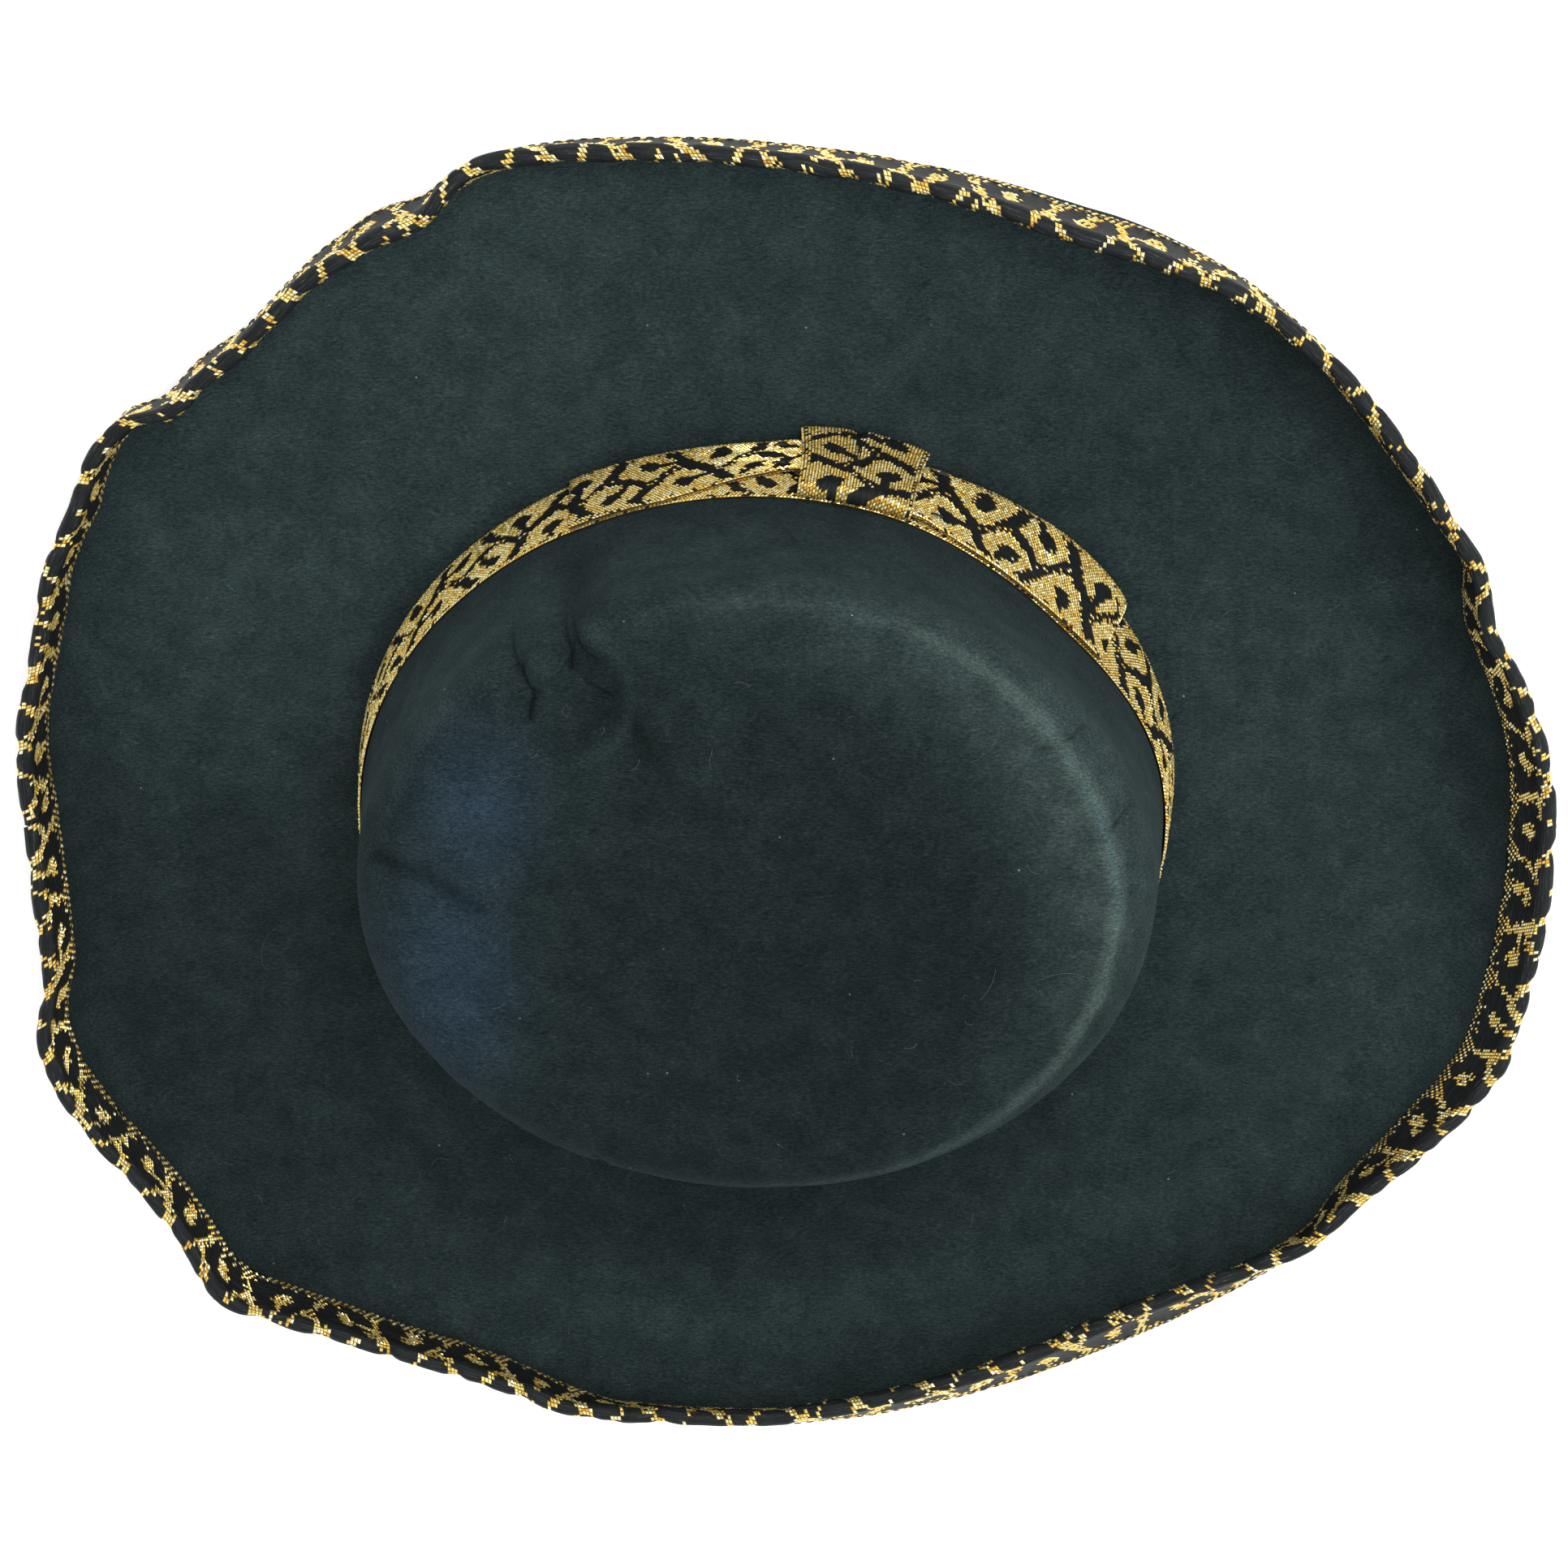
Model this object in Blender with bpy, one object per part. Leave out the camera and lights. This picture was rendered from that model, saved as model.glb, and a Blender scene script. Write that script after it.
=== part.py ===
"""A wide-brimmed felt hat: moulded felt, wired and ribbon-bound brim, band, bow and sweatband.

Metres, +Z up. +X is the front and +Y is the side that carries the bow. The origin is the bottom
centre of the whole hat, which rests on the flat underside round the foot of the crown.
"""
import math

import bmesh
import bpy
import numpy as np
from mathutils import Vector

# Crown, measured on the middle of the felt at the foot of the wall.
CROWN_HALF_LENGTH = 0.1012
CROWN_HALF_WIDTH = 0.0837
CROWN_HEIGHT = 0.101
WALL_TAPER = math.radians(5.5)
FOOT_RADIUS = 0.0030
SHOULDER_RADIUS = 0.0130
TOP_DOME = 0.0025
FELT = 0.0026

# Ribbon, used for the band, the bow and the brim's binding. Pieces that touch keep GAP, and the
# two ends of a ring keep twice END_GAP, counted in rays.
RIBBON_WIDTH = 0.032
RIBBON = 0.0006
GAP = 0.0003
END_GAP = 0.03

# Binding: the ribbon folded over the felt's edge, round a wire with a crimped joiner.
BINDING_COVER = 0.0117
BINDING_SEAM = 0.0105
FOLD_BORE = 0.0017
FOLD_CENTRE = 0.0012
WIRE_CENTRE = 0.0014
WIRE_RADIUS = 0.0005
JOINER_BORE = 0.0008
JOINER_RADIUS = 0.0011
JOINER_HALF_RAYS = 0.3

# Sweatband and the tape over its join, inside the foot of the crown.
SWEATBAND = 0.0009
SWEATBAND_WIDTH = 0.030
TAPE = 0.0005
TAPE_BOTTOM = 0.005
TAPE_HALF_RAYS = 0.65

# Band and bow, outside the foot of the crown. Places along them are counted in rays.
BAND_BOTTOM = 0.0005
BOW_BOTTOM = 0.0015
BAND_JOIN = 15
BOW_ENDS = (6.4, 23.5)
KNOT_ENDS = (13.6, 17.1)
RAY_PITCH = 0.0085
BOW_STAND = 0.0015
KNOT_STAND = 0.0010

# The front layer of each loop bellies out: it rises within the first part of the loop, is fullest
# half way, and is still this share of its fullness at the folded end.
LOOP_BELLIES = (0.0022, 0.0012)
LOOP_END_SHARE = 0.6
LOOP_RISE = 2.2
LOOP_ROUNDNESS = 0.7

# Thread, shown where it lies on a surface.
THREAD = 0.0004
TACK_HALF_RAYS = 0.17
TACK_INSET = 0.0025
BAND_TACK_PLACES = (34.5, 45.5, 56.5, 67.5)
BOW_TACK_BESIDE_KNOT = 0.5
BOW_TACK_SHARES = (0.12, 0.88)
SWEATBAND_SEAM = 0.0025

# Brim stations: angle in degrees, reach past the crown's foot, roll angle in degrees,
# length of the rolled strip. The reach is the widest point of the roll, seen from above.
BRIM_STATIONS = (
    (0, 0.0930, 63, 0.036),
    (9, 0.0886, 68, 0.034),
    (15, 0.0838, 78, 0.032),
    (18, 0.0846, 82, 0.032),
    (21, 0.0862, 86, 0.033),
    (26, 0.0840, 85, 0.034),
    (34, 0.0834, 81, 0.034),
    (46, 0.0832, 85, 0.034),
    (58, 0.0810, 99, 0.034),
    (70, 0.0776, 97, 0.034),
    (84, 0.0771, 90, 0.032),
    (98, 0.0814, 86, 0.032),
    (106, 0.0854, 82, 0.032),
    (112, 0.0870, 76, 0.032),
    (116, 0.0824, 92, 0.032),
    (120, 0.0842, 98, 0.033),
    (124, 0.0828, 94, 0.034),
    (128, 0.0811, 92, 0.034),
    (134, 0.0786, 92, 0.034),
    (139, 0.0806, 96, 0.034),
    (143, 0.0812, 94, 0.034),
    (146, 0.0872, 86, 0.032),
    (150, 0.0880, 82, 0.032),
    (155, 0.0852, 80, 0.032),
    (160, 0.0856, 81, 0.032),
    (167, 0.0832, 82, 0.032),
    (175, 0.0838, 83, 0.032),
    (184, 0.0830, 82, 0.032),
    (196, 0.0871, 79, 0.032),
    (202, 0.0966, 79, 0.032),
    (209, 0.0990, 81, 0.032),
    (217, 0.0978, 84, 0.032),
    (222, 0.1003, 84, 0.032),
    (227, 0.1056, 80, 0.032),
    (232, 0.1004, 85, 0.032),
    (238, 0.0947, 90, 0.032),
    (244, 0.0921, 94, 0.032),
    (249, 0.0914, 97, 0.033),
    (254, 0.0939, 100, 0.034),
    (258, 0.0957, 110, 0.034),
    (264, 0.0950, 116, 0.034),
    (271, 0.0944, 118, 0.034),
    (284, 0.0927, 128, 0.034),
    (300, 0.0924, 134, 0.034),
    (310, 0.0938, 122, 0.034),
    (317, 0.0941, 106, 0.034),
    (322, 0.0913, 94, 0.034),
    (330, 0.0953, 77, 0.034),
    (337, 0.1000, 66, 0.034),
    (346, 0.0970, 62, 0.034),
)
ROLL_STEPS = 120
ROLL_FRACTION = 0.6
ROLL_POWER = 1.6
ROLL_ROWS = (0.18, 0.32, 0.46)

# Rays divide the way round. The binding's and the wire's ends meet at the back.
RAYS = 72
BINDING_JOIN = RAYS / 2 + 0.5
WIRE_JOIN = RAYS / 2 - 2.5

# A short step, used to find the direction out of a surface.
STEP = 0.001

# The foot's arc, and the shoulder's arc, both tangential to the wall.
WALL_TURN = math.pi / 2 - WALL_TAPER
FOOT_HEIGHT = FELT / 2 + FOOT_RADIUS
FOOT_END = (FOOT_RADIUS - FOOT_RADIUS * math.sin(WALL_TURN), FOOT_HEIGHT - FOOT_RADIUS * math.cos(WALL_TURN))
SHOULDER_HEIGHT = CROWN_HEIGHT - FELT / 2 - TOP_DOME - SHOULDER_RADIUS
WALL_HEIGHT = SHOULDER_HEIGHT + SHOULDER_RADIUS * math.sin(WALL_TAPER) - FOOT_END[1]
SHOULDER_REACH = FOOT_END[0] - WALL_HEIGHT * math.tan(WALL_TAPER) - SHOULDER_RADIUS * math.cos(WALL_TAPER)


def around(angle, column):
    """Periodic smooth interpolation of one column of the brim stations, angle in degrees."""
    xs = [row[0] for row in BRIM_STATIONS]
    ys = [row[column] for row in BRIM_STATIONS]
    count = len(xs)
    angle = angle % 360.0
    i = int(np.searchsorted(xs, angle, side="right")) - 1
    j = (i + 1) % count
    k = (i + 2) % count
    span = (xs[j] - xs[i]) % 360.0
    before = (xs[i] - xs[i - 1]) % 360.0
    after = (xs[k] - xs[j]) % 360.0
    slope_i = (ys[j] - ys[i - 1]) / (before + span)
    slope_j = (ys[k] - ys[i]) / (span + after)
    t = (angle - xs[i]) / span
    value = (2 * t**3 - 3 * t**2 + 1) * ys[i] + (3 * t**2 - 2 * t**3) * ys[j]
    return value + span * ((t**3 - 2 * t**2 + t) * slope_i + (t**3 - t**2) * slope_j)


def place(angle, reach, height):
    """The point at an angle round the crown, a reach past its foot, and a height."""
    a = math.radians(angle)
    x = (CROWN_HALF_LENGTH + reach) * math.cos(a)
    y = (CROWN_HALF_WIDTH + reach) * math.sin(a)
    return Vector((x, y, height))


def brim_curve(angle):
    """The middle line of the brim felt along one ray: length, then along, reach, height and slope."""
    reach = around(angle, 1)
    roll = math.radians(around(angle, 2))
    strip = around(angle, 3)
    turn = np.linspace(0.0, 1.0, ROLL_STEPS)
    slope = roll * np.clip(turn / ROLL_FRACTION, 0, 1)**ROLL_POWER
    step = strip / (ROLL_STEPS - 1)
    middle = 0.5 * (slope[1:] + slope[:-1])
    out = np.concatenate(([0.0], np.cumsum(np.cos(middle)) * step))
    up = np.concatenate(([0.0], np.cumsum(np.sin(middle)) * step))
    start = reach - out.max()
    return {
        "length": start + strip,
        "strip": strip,
        "along": np.concatenate(([0.0], start + turn * strip)),
        "reach": np.concatenate(([0.0], start + out)),
        "height": np.concatenate(([0.0], up)) + FELT / 2,
        "slope": np.concatenate(([0.0], slope)),
    }


def brim_section(curve, along, offset=0.0):
    """Reach and height of a brim point, offset from the felt's middle towards its upper face."""
    slope = float(np.interp(along, curve["along"], curve["slope"]))
    reach = float(np.interp(along, curve["along"], curve["reach"]))
    height = float(np.interp(along, curve["along"], curve["height"]))
    beyond = max(0.0, along - curve["length"])
    reach += beyond * math.cos(slope) - offset * math.sin(slope)
    height += beyond * math.sin(slope) + offset * math.cos(slope)
    return reach, height


def wall_point(angle, up, offset):
    """A point beside the crown's wall, a distance up from its foot and an offset from the felt's middle."""
    reach = FOOT_END[0] - up * math.sin(WALL_TAPER) + offset * math.cos(WALL_TAPER)
    height = FOOT_END[1] + up * math.cos(WALL_TAPER) + offset * math.sin(WALL_TAPER)
    return place(angle, reach, height)


def crown_rows(offset, foot_steps, shoulder_steps, dome_steps):
    """The crown's face from its foot to its middle, as rows of reach, height and share of the top."""
    rows = []
    for i in range(foot_steps):
        turn = WALL_TURN * i / (foot_steps - 1)
        radius = FOOT_RADIUS - offset
        rows.append((FOOT_RADIUS - radius * math.sin(turn), FOOT_HEIGHT - radius * math.cos(turn), 1.0))
    for i in range(shoulder_steps):
        turn = WALL_TURN * (1.0 - i / (shoulder_steps - 1))
        radius = SHOULDER_RADIUS + offset
        reach = SHOULDER_REACH + radius * math.sin(turn)
        rows.append((reach, SHOULDER_HEIGHT + radius * math.cos(turn), 1.0))
    edge_reach, edge_height, _ = rows[-1]
    for i in range(1, dome_steps):
        share = 1.0 - i / dome_steps
        rows.append((edge_reach, edge_height + TOP_DOME * (1.0 - share**2), share))
    return rows, edge_height + TOP_DOME


def crown_point(angle, row):
    """A row of the crown in space. The top shrinks evenly towards its middle."""
    reach, height, share = row
    point = place(angle, reach, height)
    return Vector((point.x * share, point.y * share, height))


def between_rays(section, position):
    """A section at a place counted in rays, on the straight line between its two whole rays."""
    first = math.floor(position)
    share = position - first
    here = section(first * 360.0 / RAYS)
    if share < 1e-9:
        return here
    there = section((first + 1) * 360.0 / RAYS)
    return [a.lerp(b, share) for a, b in zip(here, there)]


def ray_range(start, end):
    """Places from start to end, with every whole ray between them."""
    whole = [float(i) for i in range(math.floor(start) + 1, math.ceil(end))]
    return [start] + whole + [end]


def add_solid(bm, sections, closed, cap="pairs"):
    """Join rows of equally long closed sections into one solid.

    The first half of a section runs along one face and the second half comes back along the other,
    so the second half is split the other way: then two layers of a twisted strip stay parallel.
    """
    rows = [[bm.verts.new(point) for point in section] for section in sections]
    size = len(rows[0])
    count = len(rows) if closed else len(rows) - 1
    for i in range(count):
        here, there = rows[i], rows[(i + 1) % len(rows)]
        for k in range(size):
            m = (k + 1) % size
            if k < size // 2:
                bm.faces.new((here[k], there[k], there[m]))
                bm.faces.new((here[k], there[m], here[m]))
            else:
                bm.faces.new((here[k], there[k], here[m]))
                bm.faces.new((there[k], there[m], here[m]))
    if closed:
        return
    for row, flip in ((rows[0], False), (rows[-1], True)):
        if cap == "pairs":
            half = range(size // 2 - 1)
            quads = [(row[k], row[k + 1], row[size - 2 - k], row[size - 1 - k]) for k in half]
        else:
            quads = [tuple(row)]
        for quad in quads:
            bm.faces.new(tuple(reversed(quad)) if flip else quad)


def finish_node(name, bm, material, smooth_angle=40.0):
    """Turn a closed bmesh into a named object with its faces pointing outwards."""
    if bm.calc_volume(signed=True) < 0:
        bmesh.ops.reverse_faces(bm, faces=bm.faces[:])
    mesh = bpy.data.meshes.new(name)
    bm.to_mesh(mesh)
    bm.free()
    mesh.materials.append(material)
    mesh.shade_smooth()
    mesh.set_sharp_from_angle(angle=math.radians(smooth_angle))
    node = bpy.data.objects.new(name, mesh)
    bpy.context.scene.collection.objects.link(node)
    return node


def make_material(name, colour, roughness, metallic=0.0):
    """One Principled BSDF material."""
    material = bpy.data.materials.new(name)
    material.use_nodes = True
    shader = material.node_tree.nodes["Principled BSDF"]
    shader.inputs["Base Color"].default_value = (*colour, 1.0)
    shader.inputs["Roughness"].default_value = roughness
    shader.inputs["Metallic"].default_value = metallic
    return material


def make_felt_body(material):
    """Crown and brim, moulded from one piece of felt."""
    outer, outer_top = crown_rows(FELT / 2, 3, 5, 3)
    inner, inner_top = crown_rows(-FELT / 2, 3, 4, 3)
    bm = bmesh.new()
    rings = []
    for ray in range(RAYS):
        angle = ray * 360.0 / RAYS
        curve = brim_curve(angle)
        start = curve["length"] - curve["strip"]
        places = [0.5 * (FOOT_RADIUS + start), start]
        places += [start + curve["strip"] * share for share in ROLL_ROWS]
        places += [curve["length"] - BINDING_COVER, curve["length"] - BINDING_SEAM, curve["length"]]
        column = [crown_point(angle, row) for row in reversed(outer)]
        column += [place(angle, *brim_section(curve, along, FELT / 2)) for along in places]
        column += [place(angle, *brim_section(curve, along, -FELT / 2)) for along in reversed(places)]
        column += [crown_point(angle, row) for row in inner]
        rings.append([bm.verts.new(point) for point in column])
    top = bm.verts.new((0.0, 0.0, outer_top))
    ceiling = bm.verts.new((0.0, 0.0, inner_top))
    for ray in range(RAYS):
        here, there = rings[ray], rings[(ray + 1) % RAYS]
        bm.faces.new((top, here[0], there[0]))
        bm.faces.new((ceiling, there[-1], here[-1]))
        for k in range(len(here) - 1):
            bm.faces.new((here[k], here[k + 1], there[k + 1]))
            bm.faces.new((here[k], there[k + 1], there[k]))
    return finish_node("felt_body", bm, material)


def binding_section(angle):
    """The folded ribbon: its outer face from selvage to selvage, then its inner face back."""
    curve = brim_curve(angle)
    length = curve["length"]
    faces = []
    for radius in (FOLD_BORE + RIBBON, FOLD_BORE):
        face = [place(angle, *brim_section(curve, length - back, radius))
                for back in (BINDING_COVER, BINDING_SEAM, 0.0)]
        for turn in range(0, 181, 45):
            a = math.radians(turn)
            along = length + FOLD_CENTRE + radius * math.sin(a)
            face.append(place(angle, *brim_section(curve, along, radius * math.cos(a))))
        face += [place(angle, *brim_section(curve, length - back, -radius))
                 for back in (0.0, BINDING_SEAM, BINDING_COVER)]
        faces.append(face)
    return faces[0] + faces[1][::-1]


def make_binding(material):
    """The ribbon folded over the brim's edge. Its two ends meet at the back."""
    bm = bmesh.new()
    places = ray_range(BINDING_JOIN + END_GAP, BINDING_JOIN + RAYS - END_GAP)
    add_solid(bm, [between_rays(binding_section, p) for p in places], closed=False)
    return finish_node("brim_binding", bm, material)


def edge_circle(angle, radius, sides=8):
    """A circle round the wire's centre line, in the plane of one ray."""
    curve = brim_curve(angle)
    points = []
    for k in range(sides):
        a = 2 * math.pi * k / sides
        along = curve["length"] + WIRE_CENTRE + radius * math.cos(a)
        points.append(place(angle, *brim_section(curve, along, radius * math.sin(a))))
    return points


def make_wire(material):
    """The wire in the fold of the binding, cut where the joiner holds its two ends."""
    bm = bmesh.new()
    places = ray_range(WIRE_JOIN + END_GAP, WIRE_JOIN + RAYS - END_GAP)
    sections = [between_rays(lambda a: edge_circle(a, WIRE_RADIUS, 6), p) for p in places]
    add_solid(bm, sections, closed=False, cap="fan")
    return finish_node("brim_wire", bm, material)


def make_joiner(material):
    """The short sleeve crimped over the wire's two ends."""
    bm = bmesh.new()

    def wall(angle):
        return edge_circle(angle, JOINER_RADIUS) + edge_circle(angle, JOINER_BORE)

    ends = []
    for side in (-JOINER_HALF_RAYS, JOINER_HALF_RAYS):
        ends.append([bm.verts.new(p) for p in between_rays(wall, WIRE_JOIN + side)])
    sides = len(ends[0]) // 2
    for k in range(sides):
        m = (k + 1) % sides
        for base, flip in ((0, False), (sides, True)):
            quad = (ends[0][base + k], ends[1][base + k], ends[1][base + m], ends[0][base + m])
            bm.faces.new(quad[::-1] if flip else quad)
        bm.faces.new((ends[0][k], ends[0][m], ends[0][sides + m], ends[0][sides + k]))
        bm.faces.new((ends[1][m], ends[1][k], ends[1][sides + k], ends[1][sides + m]))
    return finish_node("wire_joiner", bm, material)


def wall_strip(low, high, inner, outer):
    """A section function for a flat strip on the wall, between two heights and two offsets."""
    def section(angle):
        return [wall_point(angle, low, outer), wall_point(angle, high, outer),
                wall_point(angle, high, inner), wall_point(angle, low, inner)]
    return section


def make_wall_strip(name, material, section, start, end):
    """A flat strip of ribbon on the wall, from one place to another."""
    bm = bmesh.new()
    add_solid(bm, [between_rays(section, p) for p in ray_range(start, end)], closed=False)
    return finish_node(name, bm, material)


def surface_line(low, high):
    """A line along a strip, from two section functions: its surface, and one step above the surface."""
    def line(position):
        base = between_rays(low, position)[0]
        out = (between_rays(high, position)[0] - base).normalized()
        along = between_rays(low, position + 0.01)[0] - between_rays(low, position - 0.01)[0]
        return base + out * GAP, out, along.normalized().cross(out)
    return line


def thread_section(line, position):
    """The four corners of a thread lying just above a surface."""
    centre, out, side = line(position)
    corners = ((0.0, -0.5), (1.0, -0.5), (1.0, 0.5), (0.0, 0.5))
    return [centre + (out * lift + side * across) * THREAD for lift, across in corners]


def make_seam_thread(name, material, low, high):
    """A thread that lies along a whole seam."""
    line = surface_line(low, high)
    bm = bmesh.new()
    add_solid(bm, [thread_section(line, float(ray)) for ray in range(RAYS)], closed=True)
    return finish_node(name, bm, material)


def make_binding_thread(name, material, face):
    """The needle thread on the brim's upper face, or the bobbin thread under it."""
    def at(lift):
        def section(angle):
            curve = brim_curve(angle)
            along = curve["length"] - BINDING_SEAM
            return [place(angle, *brim_section(curve, along, face * (FOLD_BORE + RIBBON + lift)))]
        return section
    return make_seam_thread(name, material, at(0.0), at(STEP))


def make_wall_thread(name, material, up, face, outwards):
    """A thread along the wall, at a distance up from its foot."""
    def at(lift):
        return lambda angle: [wall_point(angle, up, face + outwards * lift)]
    return make_seam_thread(name, material, at(0.0), at(STEP))


def make_tack(name, material, line, middle, half):
    """One short stitch between two places on a surface."""
    bm = bmesh.new()
    sections = [thread_section(line, middle - half), thread_section(line, middle + half)]
    add_solid(bm, sections, closed=False, cap="fan")
    return finish_node(name, bm, material)


def make_band_tacks(material):
    """Four short tacks that keep the band in place, near its upper edge."""
    face = FELT / 2 + GAP + RIBBON
    up = BAND_BOTTOM + RIBBON_WIDTH - TACK_INSET
    line = surface_line(lambda a: [wall_point(a, up, face)], lambda a: [wall_point(a, up, face + STEP)])
    return [make_tack(f"band_tack_{number + 1}", material, line, place_on_band, TACK_HALF_RAYS)
            for number, place_on_band in enumerate(BAND_TACK_PLACES)]


def past_knot(position):
    """Which loop a place is in, and how far along it: 0 at the knot's edge and 1 at the folded end."""
    loop = 0 if position < (KNOT_ENDS[0] + KNOT_ENDS[1]) / 2 else 1
    share = (position - KNOT_ENDS[loop]) / (BOW_ENDS[loop] - KNOT_ENDS[loop])
    return loop, min(1.0, max(0.0, share))


def bow_point(position, offset, width_share):
    """A point of the bow, leaning out towards its lower edge, more so at its ends."""
    up = BOW_BOTTOM + RIBBON_WIDTH * width_share
    stand = KNOT_STAND + (BOW_STAND - KNOT_STAND) * past_knot(position)[1]
    lean = stand * (1.0 - width_share)
    return between_rays(lambda a: [wall_point(a, up, offset + lean)], position)[0]


def loop_path():
    """The flattened ring of the bow's ribbon, seen from above: distances and offsets of its middle line."""
    back = FELT / 2 + 3 * GAP + 2 * RIBBON + RIBBON / 2
    places = ray_range(*BOW_ENDS)
    path = [(place_on_bow * RAY_PITCH, back) for place_on_bow in places]
    path += fold_path(1, back, (-45, 0, 45))
    for place_on_bow in reversed(places):
        loop, share = past_knot(place_on_bow)
        swell = (1 - LOOP_END_SHARE) * math.sin(math.pi * share)**LOOP_ROUNDNESS
        swell += LOOP_END_SHARE * min(1.0, share * LOOP_RISE)
        path.append((place_on_bow * RAY_PITCH, back + RIBBON + GAP + LOOP_BELLIES[loop] * swell))
    return path + fold_path(0, back, (135, 180, 225))


def fold_path(loop, back, turns):
    """The half circle at the folded end of one loop."""
    radius = (RIBBON + GAP + LOOP_BELLIES[loop] * LOOP_END_SHARE) / 2
    end = BOW_ENDS[loop] * RAY_PITCH
    angles = [math.radians(turn) for turn in turns]
    return [(end + radius * math.cos(a), back + radius * (1 + math.sin(a))) for a in angles]


def make_bow_loops(material):
    """One ribbon sewn into a ring and pressed flat, which makes the bow's two loops."""
    path = [Vector(point) for point in loop_path()]
    sections = []
    for i, point in enumerate(path):
        ahead = (path[(i + 1) % len(path)] - point).normalized()
        behind = (point - path[i - 1]).normalized()
        tangent = (ahead + behind).normalized()
        normal = Vector((tangent.y, -tangent.x))
        corners = []
        for side, width_share in ((1, 0.0), (1, 1.0), (-1, 1.0), (-1, 0.0)):
            spot = point + normal * (side * RIBBON / 2)
            corners.append(bow_point(spot.x / RAY_PITCH, spot.y, width_share))
        sections.append(corners)
    bm = bmesh.new()
    add_solid(bm, sections, closed=True)
    return finish_node("bow_loops", bm, material)


def knot_section(position):
    """The knot's ribbon round the bow: four outer corners, then the four inner corners."""
    inner_back = FELT / 2 + 2 * GAP + RIBBON
    front = inner_back + 3 * RIBBON + 4 * GAP
    low = BOW_BOTTOM - GAP
    high = BOW_BOTTOM + RIBBON_WIDTH + GAP

    def corner(up, offset):
        return between_rays(lambda a: [wall_point(a, up, offset)], position)[0]

    outer = [corner(low - RIBBON, inner_back), corner(high + RIBBON, inner_back),
             corner(high + RIBBON, front + RIBBON), corner(low - RIBBON, front + RIBBON + KNOT_STAND)]
    inner = [corner(low, inner_back + RIBBON), corner(high, inner_back + RIBBON),
             corner(high, front), corner(low, front + KNOT_STAND)]
    return outer, inner


def make_bow_knot(material):
    """The short ribbon wrapped round the middle of the bow."""
    bm = bmesh.new()
    rows = []
    for position in ray_range(*KNOT_ENDS):
        outer, inner = knot_section(position)
        rows.append(([bm.verts.new(p) for p in outer], [bm.verts.new(p) for p in inner]))
    for (outer_a, inner_a), (outer_b, inner_b) in zip(rows[:-1], rows[1:]):
        for k in range(4):
            m = (k + 1) % 4
            bm.faces.new((outer_a[k], outer_b[k], outer_b[m], outer_a[m]))
            bm.faces.new((inner_a[m], inner_b[m], inner_b[k], inner_a[k]))
    for (outer, inner), flip in ((rows[0], False), (rows[-1], True)):
        for k in range(4):
            m = (k + 1) % 4
            quad = (outer[k], outer[m], inner[m], inner[k])
            bm.faces.new(quad[::-1] if flip else quad)
    return finish_node("bow_knot", bm, material)


def make_bow_tacks(material):
    """Tacks on the loops beside the knot, near both edges of the ribbon."""
    nodes = []
    for edge, side, belly in zip(KNOT_ENDS, (-1, 1), LOOP_BELLIES):
        front = FELT / 2 + 4 * GAP + 3 * RIBBON + belly
        middle = edge + side * BOW_TACK_BESIDE_KNOT
        for share in BOW_TACK_SHARES:
            def line(position, share=share, front=front):
                surface = bow_point(position, front, share)
                out = (bow_point(position, front + STEP, share) - surface).normalized()
                ahead = bow_point(position + TACK_HALF_RAYS, front, share)
                along = ahead - bow_point(position - TACK_HALF_RAYS, front, share)
                return surface + out * GAP, out, along.normalized().cross(out)
            name = f"bow_tack_{len(nodes) + 1}"
            nodes.append(make_tack(name, material, line, middle, TACK_HALF_RAYS))
    return nodes


def centre_on_origin(nodes):
    """Move every mesh so that the origin is the bottom centre of the whole hat's box."""
    corners = [v.co for node in nodes for v in node.data.vertices]
    low = [min(c[i] for c in corners) for i in range(3)]
    high = [max(c[i] for c in corners) for i in range(3)]
    shift = Vector((-(low[0] + high[0]) / 2, -(low[1] + high[1]) / 2, -low[2]))
    for node in nodes:
        for vertex in node.data.vertices:
            vertex.co += shift


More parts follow.
